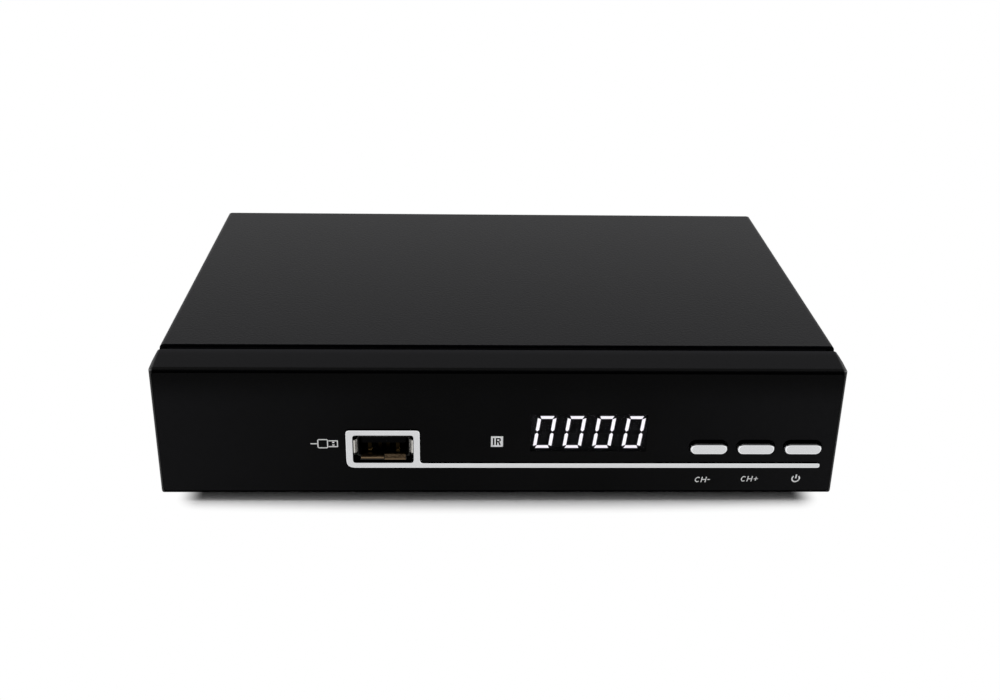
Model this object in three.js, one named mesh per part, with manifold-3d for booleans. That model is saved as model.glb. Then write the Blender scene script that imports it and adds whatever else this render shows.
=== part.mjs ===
// Satellite television receiver: a folded steel tray and cover closed by a moulded front.
// Millimetres, +Z up, the front faces -Y, the origin lies under the middle of the bounding box.
import * as THREE from "three";
import { mergeVertices } from "three/addons/utils/BufferGeometryUtils.js";
import Module from "manifold-3d";

const wasm = await Module();
wasm.setup();

// Clearances
const fit = 0.1; // between fixed pieces that seat on each other
const runningGap = 0.15; // round a piece that slides or a screw that passes
const overrun = 2; // how far a cut runs past what it cuts

// Front bezel, moulded in black plastic
const faceWidth = 170;
const faceHeight = 34.3;
const bandDepth = 9.7;
const bandRise = 1.2;
const bezelWall = 2;
const bezelCorner = 1.2;
const bezelEdge = 0.6;
const lipLength = 5.5;
const lipWall = 1.6;
const lipRoot = 2;
const seamWidth = 1.9;
const seamDepth = 1.2;
const hookReach = 0.6;
const hookWidth = 7;
const hookLength = 2.6;
const hookInset = 30;
const hookLift = 3.6;
const hookGap = 0.3;
const bossRadius = 2.6;
const bossInset = 5.5;
const bossDrop = 6;
const ribThickness = 1.2;
const ribDepth = 3.5;
const ribCount = 3;

// Folded steel of the tray and the cover
const sheet = 0.8;
const bendRadius = 1.3;
const coverInset = 0.3;
const coverLength = 101.9;
const coverStep = 0.5;
const coverLift = 0.3;
const panelInset = 0.8;
const flangeHeight = 9;
const tabWidth = 10;
const tabDrop = 8;
const sideVentWidth = 2;
const sideVentHeight = 13;
const sideVentPitch = 5;
const sideVentCount = 11;
const sideVentDrop = 15;
const floorVentWidth = 2;
const floorVentLength = 20;
const floorVentPitch = 6;
const floorVentCount = 9;
const postRadius = 3.2;
const postFlare = 1.6;
const postInset = 4;

// Feet
const footHeight = 2.5;
const footRadius = 6;
const footChamfer = 0.8;
const footSide = 22;
const footInset = 13;

// Face plate let into the bezel
const lensThickness = 1;
const lensBorder = 0.6;
const lensCorner = 0.9;

// Silver trim: a frame round the USB mouth with a strip that runs on under the buttons
const trimProud = 0.5;
const trimBevel = 0.3;
const mouthSidePlay = 0.175; // between the mouth and the socket's lips
const mouthTopPlay = 0.39;
const mouthCorner = 0.8;
const mouthGap = 18.45; // from the infrared receiver to the mouth
const mouthLift = 12.9;
const barLeft = 1.7;
const barRight = 1.6;
const barTop = 1.4;
const barBottom = 1.5;
const trimCorner = 1.1;
const trimHeel = 2.1;
const trimFillet = 0.9;
const stripHeight = 1.4;
const stripInset = 3.8;
const stakeRadius = 0.5;
const stakeLength = 1.6;

// Buttons and their switches
const capWidth = 9.3;
const capHeight = 3.3;
const capGap = 0.35;
const capProud = 1.3;
const capRound = 0.5;
const capReach = 0.9;
const capFlange = 1;
const capStem = 0.6;
const capStemRadius = 1.4;
const capSpacing = 0.8; // between the flanges of two caps
const capMargin = 1.25; // from the last flange to the bezel's wall
const buttonLift = 13.4;
const switchSize = 6;
const switchDepth = 3.5;
const switchCorner = 0.5;
const plungerRadius = 1.75;
const plungerReach = 0.9;
const plungerRoot = 1;
const switchStroke = 0.4;

// Display and infrared receiver
const displayWidth = 30.2;
const displayHeight = 14;
const displayGap = 10.5;
const displayRise = 1.4; // above the stakes of the strip
const displaySetback = 0.4;
const windowGap = 0.3;
const shroudWall = 1;
const shroudDepth = 2;
const eyeGap = 7.55;
const eyeLift = 15.2;
const eyeSize = 5;
const eyeDepth = 3.6;
const eyeDome = 2;
const eyeHole = 2.4;

// Boards
const boardThickness = 1.6;
const boardCorner = 1;
const boardSideGap = 0.7;
const boardSetback = 2.4;
const boardMargin = 5;
const boardReach = 6; // from the infrared receiver to the front board's end
const noseHalf = 18; // nose of the main board that carries the USB socket
const noseGap = 1.4;
const panelGap = 0.3;

// Headers and ribbon cable between the boards
const headerWidth = 20;
const headerDepth = 3;
const headerHeight = 5;
const headerX = 24;
const headerLift = 21.6;
const ribbonWidth = 17;
const ribbonThickness = 0.4;
const ribbonRun = 13;
const ribbonBow = 9;

// USB socket
const usbInnerWidth = 12.5;
const usbInnerHeight = 5.12;
const usbWall = 0.35;
const usbLength = 14;
const usbRecess = 1.2;
const usbFlareLength = 1;
const usbFlareSide = 0.8;
const usbFlareTop = 0.6;
const usbNotch = 0.5;
const usbTongueSide = 0.7;
const usbTongueThickness = 1.84;
const usbTongueLift = 0.3;
const usbTongueSetback = 2;
const usbBlockLength = 3;
const usbSpringWidth = 2.4;
const usbSpringRise = 0.7;
const usbSpringSpread = 3.2;

// Row of sockets at the rear: margins at its ends, and what is left shared between them
const rowRight = 9;
const rowLeft = 13.5;
const socket_gap_shares = [0.12, 0.33, 0.55];

// Tuner and its threaded aerial socket
const tunerWidth = 30;
const tunerDepth = 40;
const tunerHeight = 14.5;
const tunerLip = 0.5;
const barrelRadius = 4.76;
const barrelWall = 0.9;
const barrelReach = 9.2;
const barrelLift = 7.6;
const barrelRoot = 2;
const barrelChamfer = 0.4;
const insulatorBore = 0.7;
const insulatorDepth = 6;
const insulatorSetback = 0.4;
const nutRim = 0.79;
const nutThickness = 2.4;

// Audio and video sockets
const avPitch = 13.8;
const avMargin = 6.4;
const avDepth = 14;
const avHeight = 13.4;
const avLift = 7.2;
const avSleeveRadius = 4.15;
const avSleeveWall = 0.5;
const avReach = 8.4;
const avRoot = 1.5;
const avBore = 1.75;
const avBoreDepth = 7;
const avCollarRadius = 5.3;
const avCollarDepth = 1.8;
const avCoreSetback = 0.3;

// HDMI socket
const hdmiWidth = 14;
const hdmiHeight = 4.6;
const hdmiSlope = 1.3;
const hdmiWall = 0.4;
const hdmiLength = 11.5;
const hdmiReach = 0.9;
const hdmiTongueWidth = 11.6;
const hdmiTongueThickness = 1.1;
const hdmiTongueSetback = 1.4;
const hdmiBlockLength = 3;

// DC inlet
const dcWidth = 9;
const dcHeight = 11;
const dcDepth = 14;
const dcNose = 1.2;
const dcNoseRadius = 4.1;
const dcBore = 3.15;
const dcBoreDepth = 9.5;
const dcPinRadius = 1;
const dcPinRoot = 1.5;
const dcPinSetback = 2;
const dcLift = 6.4;

// Parts on the main board, placed as shares of its width and depth from its middle
const chipSize = 19;
const chipHeight = 1.8;
const chip_shares = [-0.06, -0.05];
const sinkSize = 30;
const sinkBase = 2;
const sinkHeight = 9;
const finThickness = 1;
const finCount = 9;
const memoryWidth = 9;
const memoryLength = 13;
const memoryHeight = 1.1;
const memory_shares = [0.13, -0.08];
const capacitorRadius = 4;
const capacitorHeight = 12.5;
const capacitorFoot = 1.05;
const capacitorGroove = 0.35;
const capacitor_shares = [[-0.2, 0.24], [-0.28, 0.1], [-0.42, 0.04]];
const coilSize = 11;
const coilHeight = 5;
const coil_shares = [-0.4, -0.18];
const crystalLength = 11;
const crystalWidth = 4.6;
const crystalHeight = 3.6;
const crystal_shares = [0.02, -0.33];

// Screws: machine screws in the steel, tapping screws in the bezel
const machineScrew = { radius: 1.5, length: 6, head: 2.8, crown: 1.9 };
const tappingScrew = { radius: 1, length: 6.5, head: 2.2, crown: 1.5 };
const screwDrop = 4.6;
const crossWidth = 0.7;

// Levels and planes that the sizes above lead to
const bottom = footHeight;
const faceTop = bottom + faceHeight;
const bandTop = faceTop + bandRise;
const coverTop = bandTop + coverStep;
const coverHalf = faceWidth / 2 - coverInset;
const coverFront = bandDepth + seamWidth;
const coverRear = coverFront + coverLength;
const trayHalf = coverHalf - sheet - fit;
const floorTop = bottom + sheet;
const panelRear = coverRear - panelInset;
const panelFront = panelRear - sheet;
const panelTop = coverTop - sheet - fit;
const seatBack = lensThickness + fit;
const wallBack = seatBack + bezelWall;
const lipHalf = trayHalf - sheet - fit;
const lipTop = panelTop;
const lipBottom = floorTop + fit;
const lipRear = bandDepth + lipLength;
const mainBoardWidth = 2 * (trayHalf - sheet - boardMargin);
const mainBoardFront = lipRear + boardSetback;
const mouthZ = bottom + mouthLift;
const mouthWidth = usbInnerWidth + 2 * (usbWall + usbFlareSide + mouthSidePlay);
const mouthHeight = usbInnerHeight + 2 * (usbWall + usbFlareTop + mouthTopPlay);
const flangeWidth = capWidth + 2 * capReach;
const buttonPitch = flangeWidth + capSpacing;
const lastButtonX = faceWidth / 2 - bezelWall - capMargin - flangeWidth / 2;
const firstButtonX = lastButtonX - 2 * buttonPitch;
const displayX = firstButtonX - capWidth / 2 - displayGap - displayWidth / 2;
const eyeX = displayX - displayWidth / 2 - eyeGap;
const mouthX = eyeX - eyeSize / 2 - mouthGap - mouthWidth / 2;
const avReachAcross = avPitch + avMargin;
const socketsWide = tunerWidth + 2 * avReachAcross + hdmiWidth + dcWidth;
const spareWidth = mainBoardWidth - rowRight - rowLeft - socketsWide;
const [tunerGap, avGap, hdmiGap] = socket_gap_shares.map((share) => share * spareWidth);
const tunerX = mainBoardWidth / 2 - rowRight - tunerWidth / 2;
const avX = tunerX - tunerWidth / 2 - tunerGap - avReachAcross;
const hdmiX = avX - avReachAcross - avGap - hdmiWidth / 2;
const dcX = hdmiX - hdmiWidth / 2 - hdmiGap - dcWidth / 2;
const buttonZ = bottom + buttonLift;
const stripZ = mouthZ - mouthHeight / 2 - barBottom + stripHeight / 2;
const displayZ = stripZ + stakeRadius + displayRise + displayHeight / 2;
const flangeFront = wallBack + fit;
const stemRear = flangeFront + capFlange + capStem;
const plungerFront = stemRear + fit;
const switchFront = plungerFront + plungerReach;
const frontBoardY = switchFront + switchDepth + fit;
const frontBoardRear = frontBoardY + boardThickness;
const boardTop = mouthZ - usbInnerHeight / 2 - usbWall - fit;
const boardFoot = boardTop - boardThickness;
const partFoot = boardTop + fit;
const boardRear = panelFront - boardSideGap;
const frontBoardLeft = eyeX - eyeSize / 2 - boardReach;
const frontBoardRight = lipHalf - lipWall - boardSideGap;
const frontBoardFoot = lipBottom + lipWall + boardSideGap;
const frontBoardTop = lipTop - lipWall - boardSideGap;
const noseLeft = mouthX - noseHalf;
const noseRight = frontBoardLeft - noseGap;
const trayFront = bandDepth + fit;
const boardDepth = boardRear - mainBoardFront;
const boardMiddle = mainBoardFront + boardDepth / 2;
const socketFront = panelFront - fit;
const barrelEnd = panelRear + barrelReach;
const avEnd = panelRear + avReach;
const rearMost = Math.max(barrelEnd, avEnd, coverRear);
const frontMost = -Math.max(capProud, trimProud);
const buttons = ["ch_down", "ch_up", "power"].map((name, i) => ({
  name,
  x: firstButtonX + i * buttonPitch,
}));
const avSockets = [
  { name: "video", colour: 0xd8b411 },
  { name: "left", colour: 0xe6e6e2 },
  { name: "right", colour: 0xb3201c },
].map((socket, i) => ({ ...socket, x: avX + (1 - i) * avPitch }));
const trayCorners = [[1, 1], [-1, 1], [-1, -1], [1, -1]];

// Directions in which an outline drawn flat is carried
const X = new THREE.Vector3(1, 0, 0);
const Y = new THREE.Vector3(0, 1, 0);
const Z = new THREE.Vector3(0, 0, 1);
const upended = new THREE.Matrix4().makeBasis(X, Z, Y.clone().negate());
const sideways = new THREE.Matrix4().makeBasis(Y, Z, X);

// A closed geometry as a solid that can be joined and cut
function solid(geometry) {
  const bare = geometry.clone();
  bare.deleteAttribute("normal");
  bare.deleteAttribute("uv");
  const merged = mergeVertices(bare);
  return new wasm.Manifold(
    new wasm.Mesh({
      numProp: 3,
      vertProperties: merged.attributes.position.array,
      triVerts: new Uint32Array(merged.index.array),
    }),
  );
}

const joined = (pieces) => pieces.reduce((whole, piece) => whole.add(piece));
const cut = (body, tools) => tools.reduce((rest, tool) => rest.subtract(tool), body);

function block(x0, x1, y0, y1, z0, z1) {
  const box = new THREE.BoxGeometry(x1 - x0, y1 - y0, z1 - z0);
  return solid(box.translate((x0 + x1) / 2, (y0 + y1) / 2, (z0 + z1) / 2));
}

// Outline through corners [x, y, radius], each rounded by its own radius
function outline(corners) {
  const shape = new THREE.Shape();
  corners.forEach(([x, y, radius = 0], i) => {
    const corner = new THREE.Vector2(x, y);
    const [bx, by] = corners.at(i - 1);
    const [ax, ay] = corners[(i + 1) % corners.length];
    const towards = (u, v) => new THREE.Vector2(u, v).sub(corner).setLength(radius).add(corner);
    const start = radius ? towards(bx, by) : corner;
    if (i === 0) shape.moveTo(start.x, start.y);
    else shape.lineTo(start.x, start.y);
    if (!radius) return;
    const end = towards(ax, ay);
    shape.quadraticCurveTo(x, y, end.x, end.y);
  });
  return shape;
}

function rectangle(width, height, radius, x, y) {
  const [w, h] = [width / 2, height / 2];
  const corner = Math.min(radius, w, h);
  return outline([
    [x - w, y - h, corner],
    [x + w, y - h, corner],
    [x + w, y + h, corner],
    [x - w, y + h, corner],
  ]);
}

// Outline with half round ends
function pill(width, height, x, y) {
  const [reach, radius] = [(width - height) / 2, height / 2];
  const shape = new THREE.Shape();
  shape.absarc(x + reach, y, radius, -Math.PI / 2, Math.PI / 2);
  shape.absarc(x - reach, y, radius, Math.PI / 2, (3 * Math.PI) / 2);
  return shape;
}

function extrude(shape, depth, curveSegments, bevel) {
  return new THREE.ExtrudeGeometry(shape, {
    depth: depth - 2 * bevel,
    curveSegments,
    bevelEnabled: bevel > 0,
    bevelThickness: bevel,
    bevelSize: bevel,
    bevelOffset: -bevel,
    bevelSegments: 2,
  }).translate(0, 0, bevel);
}

// An outline in X and Z carried back from y0 to y1
function carriedBack(shape, y0, y1, steps = 4, bevel = 0) {
  return solid(extrude(shape, y1 - y0, steps, bevel).applyMatrix4(upended).translate(0, y1, 0));
}

// An outline in Y and Z carried across from x0 to x1
function carriedAcross(shape, x0, x1, steps = 4, bevel = 0) {
  return solid(extrude(shape, x1 - x0, steps, bevel).applyMatrix4(sideways).translate(x0, 0, 0));
}

// An outline in X and Y carried up from z0 to z1
function carriedUp(shape, z0, z1, steps = 4, bevel = 0) {
  return solid(extrude(shape, z1 - z0, steps, bevel).translate(0, 0, z0));
}

// A profile of [radius, distance] turned about a line along Y
function turnedAlongY(profile, x, z, sides = 20) {
  const points = profile.map(([radius, y]) => new THREE.Vector2(radius, y));
  return solid(new THREE.LatheGeometry(points, sides).translate(x, 0, z));
}

// A profile of [radius, height] turned about a line along Z
function turnedUpright(profile, x, y, sides = 20) {
  const points = profile.map(([radius, z]) => new THREE.Vector2(radius, z));
  return solid(new THREE.LatheGeometry(points, sides).applyMatrix4(upended).translate(x, y, 0));
}

const rodAlongY = (radius, y0, y1, x, z, sides) =>
  turnedAlongY([[0, y0], [radius, y0], [radius, y1], [0, y1]], x, z, sides);
const rodUpright = (radius, z0, z1, x, y, sides) =>
  turnedUpright([[0, z0], [radius, z0], [radius, z1], [0, z1]], x, y, sides);

// A four sided funnel from one mouth at y0 to another at y1
function funnel([w0, h0], y0, [w1, h1], y1, x, z) {
  const geometry = new THREE.BoxGeometry(1, 1, 1);
  const place = geometry.attributes.position;
  for (let i = 0; i < place.count; i++) {
    const near = place.getY(i) < 0;
    const across = place.getX(i) * (near ? w0 : w1);
    const up = place.getZ(i) * (near ? h0 : h1);
    place.setXYZ(i, x + across, near ? y0 : y1, z + up);
  }
  return solid(geometry);
}

// Side view of the bezel: an upright face and a band that slopes up to the cover
function bezelSide(front, back, inset, round) {
  const slope = bandRise / bandDepth;
  return outline([
    [front, bottom + inset, round],
    [back, bottom + inset],
    [back, faceTop - inset + slope * back],
    [front, faceTop - inset + slope * front, round],
  ]);
}

function bezelShell() {
  const half = faceWidth / 2;
  const middle = bottom + faceHeight / 2 + bandRise / 2;
  const face = rectangle(faceWidth, faceHeight + bandRise, bezelCorner, 0, middle);
  const plan = outline([
    [-half, 0, bezelEdge],
    [half, 0, bezelEdge],
    [half, bandDepth],
    [-half, bandDepth],
  ]);
  const outside = carriedAcross(bezelSide(0, bandDepth, 0, bezelEdge), -half, half)
    .intersect(carriedUp(plan, 0, coverTop))
    .intersect(carriedBack(face, 0, bandDepth));
  const hollow = carriedAcross(
    bezelSide(wallBack, bandDepth + overrun, bezelWall, 0),
    bezelWall - half,
    half - bezelWall,
  );
  return outside.subtract(hollow);
}

// Lip behind the bezel that slips inside the tray and the cover
function bezelLip() {
  const [width, height] = [2 * lipHalf, lipTop - lipBottom];
  const middle = (lipTop + lipBottom) / 2;
  const bore = carriedBack(
    rectangle(width - 2 * lipWall, height - 2 * lipWall, lipWall, 0, middle),
    wallBack,
    lipRear + overrun,
  );
  const root = block(
    bezelWall / 2 - faceWidth / 2, faceWidth / 2 - bezelWall / 2,
    bandDepth - lipRoot, bandDepth,
    bottom + bezelWall / 2, faceTop - bezelWall / 2,
  );
  const tongue = carriedBack(rectangle(width, height, bezelEdge, 0, middle), bandDepth - lipRoot, lipRear);
  const seam = block(
    -coverHalf, coverHalf,
    bandDepth, coverFront,
    bandTop - seamDepth, coverTop,
  );
  return cut(root.add(tongue.subtract(seam)), [bore]);
}

// Snap hooks that click into windows in the tray's floor and side flanges
function bezelHooks() {
  const floorHooks = [-1, 1].map((side) => {
    const x = side * (lipHalf - hookInset);
    const ramp = outline([
      [lipRear - hookLength - bezelEdge, lipBottom + fit],
      [lipRear - hookLength - bezelEdge, lipBottom - hookReach],
      [lipRear - bezelEdge, lipBottom + fit],
    ]);
    return carriedAcross(ramp, x - hookWidth / 2, x + hookWidth / 2);
  });
  const sideHooks = [-1, 1].map((side) => {
    const ramp = outline([
      [side * (lipHalf - fit), lipRear - hookLength - bezelEdge],
      [side * (lipHalf + hookReach), lipRear - hookLength - bezelEdge],
      [side * (lipHalf - fit), lipRear - bezelEdge],
    ]);
    const z = bottom + hookLift;
    return carriedUp(ramp, z, z + hookWidth / 2);
  });
  return [...floorHooks, ...sideHooks];
}

const bossPlaces = [frontBoardLeft + bossInset, frontBoardRight - bossInset].map((x) => ({
  x,
  z: frontBoardTop - bossDrop,
}));
const tapEnd = frontBoardRear + fit - tappingScrew.length;

function bezelBosses() {
  return bossPlaces.map(({ x, z }) =>
    rodAlongY(bossRadius, wallBack - bezelWall / 2, frontBoardY - fit, x, z, 20),
  );
}

// Upright ribs that stiffen the wall on the side without a board
function bezelRibs() {
  const wall = bezelWall - faceWidth / 2;
  const pitch = (noseLeft - wall) / (ribCount + 1);
  return Array.from({ length: ribCount }, (_, i) => {
    const x = wall + (i + 1) * pitch;
    return block(
      x - ribThickness / 2, x + ribThickness / 2,
      wallBack - bezelWall / 2, wallBack + ribDepth,
      bottom + bezelWall / 2, faceTop - bezelWall / 2,
    );
  });
}

// Rim behind the display window that keeps stray light in
function displayShroud() {
  const [w, h] = [displayWidth + 2 * windowGap, displayHeight + 2 * windowGap];
  const wide = rectangle(w + 2 * shroudWall, h + 2 * shroudWall, shroudWall, displayX, displayZ);
  return carriedBack(wide, wallBack - bezelWall / 2, wallBack + shroudDepth, 3);
}

const buttonHole = (x, grow) => pill(capWidth + 2 * grow, capHeight + 2 * grow, x, buttonZ);

function bezelCuts() {
  const seatWidth = faceWidth - 2 * lensBorder;
  const seatHeight = faceHeight - 2 * lensBorder;
  const seat = rectangle(seatWidth, seatHeight, lensCorner, 0, bottom + faceHeight / 2);
  const opening = rectangle(
    displayWidth + 2 * windowGap, displayHeight + 2 * windowGap, 0, displayX, displayZ,
  );
  const mouth = rectangle(mouthWidth, mouthHeight, mouthCorner, mouthX, mouthZ);
  const deep = wallBack + shroudDepth + overrun;
  return [
    carriedBack(seat, -overrun, seatBack, 4),
    carriedBack(opening, 0, deep),
    carriedBack(mouth, 0, wallBack + overrun),
    rodAlongY(eyeHole, 0, wallBack + overrun, eyeX, bottom + eyeLift, 20),
    ...buttons.map(({ x }) => carriedBack(buttonHole(x, capGap), 0, wallBack + overrun, 6)),
    ...stakePlaces().map(({ x, z }) =>
      rodAlongY(stakeRadius + runningGap, 0, wallBack + overrun, x, z, 10),
    ),
    ...bossPlaces.map(({ x, z }) =>
      rodAlongY(tappingScrew.radius + fit, tapEnd - fit, frontBoardY + overrun, x, z, 12),
    ),
  ];
}

function frontBezel() {
  const whole = joined([
    bezelShell(),
    bezelLip(),
    ...bezelHooks(),
    ...bezelBosses(),
    ...bezelRibs(),
    displayShroud(),
  ]);
  return cut(whole, bezelCuts());
}

// Silhouette of the trim: the frame with its strip running to the right
function trimOutline(grow) {
  const left = mouthX - mouthWidth / 2 - barLeft - grow;
  const right = mouthX + mouthWidth / 2 + barRight + grow;
  const low = mouthZ - mouthHeight / 2 - barBottom - grow;
  const high = mouthZ + mouthHeight / 2 + barTop + grow;
  const end = stripEnd + grow;
  const stripTop = low + stripHeight + 2 * grow;
  const tip = stripHeight / 2;
  return outline([
    [left, low, trimHeel],
    [end, low, tip],
    [end, stripTop, tip],
    [right, stripTop, trimFillet],
    [right, high, trimCorner],
    [left, high, trimCorner],
  ]);
}

const stripEnd = faceWidth / 2 - stripInset;

// Stakes behind the strip and the frame that hold the trim in the bezel
function stakePlaces() {
  const start = mouthX + mouthWidth / 2 + barRight;
  const along_shares = [0.1, 0.5, 0.9];
  const strip = along_shares.map((share) => ({ x: start + share * (stripEnd - start), z: stripZ }));
  const frame = [-1, 1].map((side) => ({
    x: mouthX + side * (mouthWidth / 2 + barRight / 2),
    z: mouthZ,
  }));
  return [...strip, ...frame];
}

function usbTrim() {
  const plate = carriedBack(trimOutline(0), -trimProud, lensThickness, 4, trimBevel);
  const mouth = rectangle(mouthWidth, mouthHeight, mouthCorner, mouthX, mouthZ);
  const stakes = stakePlaces().map(({ x, z }) =>
    rodAlongY(stakeRadius, lensThickness - trimBevel - fit, lensThickness + stakeLength, x, z, 10),
  );
  return joined([plate, ...stakes]).subtract(carriedBack(mouth, -overrun, lensThickness + overrun));
}

function frontLens() {
  const width = faceWidth - 2 * (lensBorder + fit);
  const height = faceHeight - 2 * (lensBorder + fit);
  const plate = rectangle(width, height, lensCorner, 0, bottom + faceHeight / 2);
  return cut(carriedBack(plate, 0, lensThickness), [
    carriedBack(trimOutline(fit), -overrun, lensThickness + overrun),
    ...buttons.map(({ x }) => carriedBack(buttonHole(x, capGap), -overrun, seatBack + overrun, 6)),
  ]);
}

// Folded tray: floor, rear panel and side flanges from one sheet
function traySheet() {
  const inner = trayHalf - sheet;
  const inside = bendRadius - sheet;
  const rim = bottom + flangeHeight;
  const trough = outline([
    [-trayHalf, rim],
    [-trayHalf, bottom, bendRadius],
    [trayHalf, bottom, bendRadius],
    [trayHalf, rim],
    [inner, rim],
    [inner, floorTop, inside],
    [-inner, floorTop, inside],
    [-inner, rim],
  ]);
  const angle = outline([
    [trayFront, bottom],
    [panelRear, bottom, bendRadius],
    [panelRear, panelTop],
    [panelFront, panelTop],
    [panelFront, floorTop, inside],
    [trayFront, floorTop],
  ]);
  const panel = rectangle(2 * trayHalf, panelTop - bottom, bendRadius, 0, (panelTop + bottom) / 2);
  return joined([
    carriedBack(trough, trayFront, panelRear - bendRadius),
    carriedAcross(angle, bendRadius - trayHalf, trayHalf - bendRadius),
    carriedBack(panel, panelFront, panelRear).subtract(
      block(-trayHalf, trayHalf, panelFront - overrun, panelRear + overrun, 0, bottom + bendRadius),
    ),
    carriedBack(trough, panelFront - bendRadius, panelRear).intersect(
      carriedAcross(
        outline([
          [trayFront, bottom],
          [panelRear, bottom, bendRadius],
          [panelRear, rim],
          [trayFront, rim],
        ]),
        -trayHalf,
        trayHalf,
      ),
    ),
  ]);
}

const postPlaces = trayCorners.map(([u, v]) => ({
  x: u * (mainBoardWidth / 2 - postInset),
  y: boardMiddle + v * (boardDepth / 2 - postInset),
}));

// Post pressed up out of the floor, hollow below, with a hole for its screw
function trayPost({ x, y }) {
  const top = boardFoot - fit;
  const foot = postRadius + postFlare;
  const low = bottom + sheet / 2;
  return turnedUpright([[0, low], [foot, low], [postRadius, top], [0, top]], x, y, 16);
}

function trayPostHollow({ x, y }) {
  const top = boardFoot - fit - sheet;
  const foot = postRadius + postFlare - sheet;
  const hole = machineScrew.radius + runningGap;
  return turnedUpright(
    [
      [0, bottom - overrun],
      [foot, bottom - overrun],
      [foot, bottom],
      [postRadius - sheet, top],
      [hole, top],
      [hole, boardFoot + overrun],
      [0, boardFoot + overrun],
    ],
    x,
    y,
    16,
  );
}

function hookWindows() {
  const y0 = lipRear - bezelEdge - hookLength - hookGap;
  const y1 = lipRear - bezelEdge + hookGap;
  const across = hookWidth / 2 + hookGap;
  const floor = [-1, 1].map((side) => {
    const x = side * (lipHalf - hookInset);
    return block(x - across, x + across, y0, y1, bottom - overrun, floorTop + overrun);
  });
  const z = bottom + hookLift;
  const sides = block(
    -trayHalf - overrun, trayHalf + overrun,
    y0, y1,
    z - hookGap, z + hookWidth / 2 + hookGap,
  );
  return [...floor, sides];
}

// A centred run of slots, each placed by its distance from the middle of the run
const slotRun = (count, pitch) => Array.from({ length: count }, (_, i) => (i - (count - 1) / 2) * pitch);

function floorVents() {
  return slotRun(floorVentCount, floorVentPitch).map((x) =>
    carriedUp(
      rectangle(floorVentWidth, floorVentLength, floorVentWidth / 3, x, boardMiddle),
      bottom - overrun,
      floorTop + overrun,
      1,
    ),
  );
}

const lidScrewPlaces = [-1, 1].map((side) => ({
  x: (side * (trayHalf - sheet + tunerX + tunerWidth / 2)) / 2,
  z: panelTop - screwDrop,
}));

// Cut-outs of the rear panel, one round or round each socket
function panelHoles() {
  const [y0, y1] = [panelFront - overrun, panelRear + overrun];
  return [
    rodAlongY(barrelRadius + panelGap, y0, y1, tunerX, partFoot + barrelLift, 20),
    ...avSockets.map(({ x }) =>
      rodAlongY(avCollarRadius + panelGap, y0, y1, x, partFoot + avLift, 20),
    ),
    carriedBack(hdmiOutline(hdmiWall + panelGap), y0, y1),
    rodAlongY(dcNoseRadius + panelGap, y0, y1, dcX, partFoot + dcLift, 20),
    ...lidScrewPlaces.map(({ x, z }) =>
      rodAlongY(machineScrew.radius + runningGap, y0, y1, x, z, 12),
    ),
  ];
}

function baseTray() {
  const pressed = joined([traySheet(), ...postPlaces.map(trayPost)]);
  return cut(pressed, [
    ...postPlaces.map(trayPostHollow),
    ...hookWindows(),
    ...floorVents(),
    ...panelHoles(),
  ]);
}

function topCover() {
  const foot = bottom + coverLift;
  const inner = coverHalf - sheet;
  const under = coverTop - sheet;
  const inside = bendRadius - sheet;
  const profile = outline([
    [-coverHalf, foot],
    [-coverHalf, coverTop, bendRadius],
    [coverHalf, coverTop, bendRadius],
    [coverHalf, foot],
    [inner, foot],
    [inner, under, inside],
    [-inner, under, inside],
    [-inner, foot],
  ]);
  const tabs = lidScrewPlaces.map(({ x, z }) =>
    carriedBack(
      rectangle(tabWidth, tabDrop + sheet, sheet, x, coverTop - (tabDrop + sheet) / 2 - fit),
      panelFront - fit - sheet,
      panelFront - fit,
    ).subtract(
      rodAlongY(machineScrew.radius + runningGap, 0, panelRear, x, z, 12),
    ),
  );
  const vents = slotRun(sideVentCount, sideVentPitch).map((step) =>
    carriedAcross(
      rectangle(
        sideVentWidth, sideVentHeight, sideVentWidth / 3,
        boardMiddle + step, coverTop - sideVentDrop,
      ),
      -coverHalf - overrun,
      coverHalf + overrun,
      1,
    ),
  );
  return cut(joined([carriedBack(profile, coverFront, coverRear), ...tabs]), vents);
}

// Rubber foot, chamfered where it meets the table
const foot = () =>
  turnedUpright(
    [
      [0, 0],
      [footRadius - footChamfer, 0],
      [footRadius, footChamfer],
      [footRadius, bottom - fit],
      [0, bottom - fit],
    ],
    0,
    0,
    20,
  );

// Button cap with a flange that stops it behind the wall and a stem that meets the switch
function buttonCap() {
  const behind = flangeFront + capFlange;
  return joined([
    carriedBack(pill(capWidth, capHeight, 0, 0), -capProud, behind - fit, 5, capRound),
    carriedBack(pill(flangeWidth, capHeight + 2 * capReach, 0, 0), flangeFront, behind, 5),
    rodAlongY(capStemRadius, behind - fit, stemRear, 0, 0, 16),
  ]);
}

function switchBody() {
  const body = rectangle(switchSize, switchSize, switchCorner, 0, 0);
  const bore = switchFront + plungerRoot + switchStroke + runningGap;
  return carriedBack(body, switchFront, switchFront + switchDepth, 2).subtract(
    rodAlongY(plungerRadius + runningGap, switchFront - overrun, bore, 0, 0, 20),
  );
}

const switchPlunger = () =>
  rodAlongY(plungerRadius, plungerFront, switchFront + plungerRoot, 0, 0, 20);

function displayModule() {
  const body = rectangle(displayWidth, displayHeight, windowGap, displayX, displayZ);
  return carriedBack(body, lensThickness + displaySetback, frontBoardY - fit, 2);
}

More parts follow.
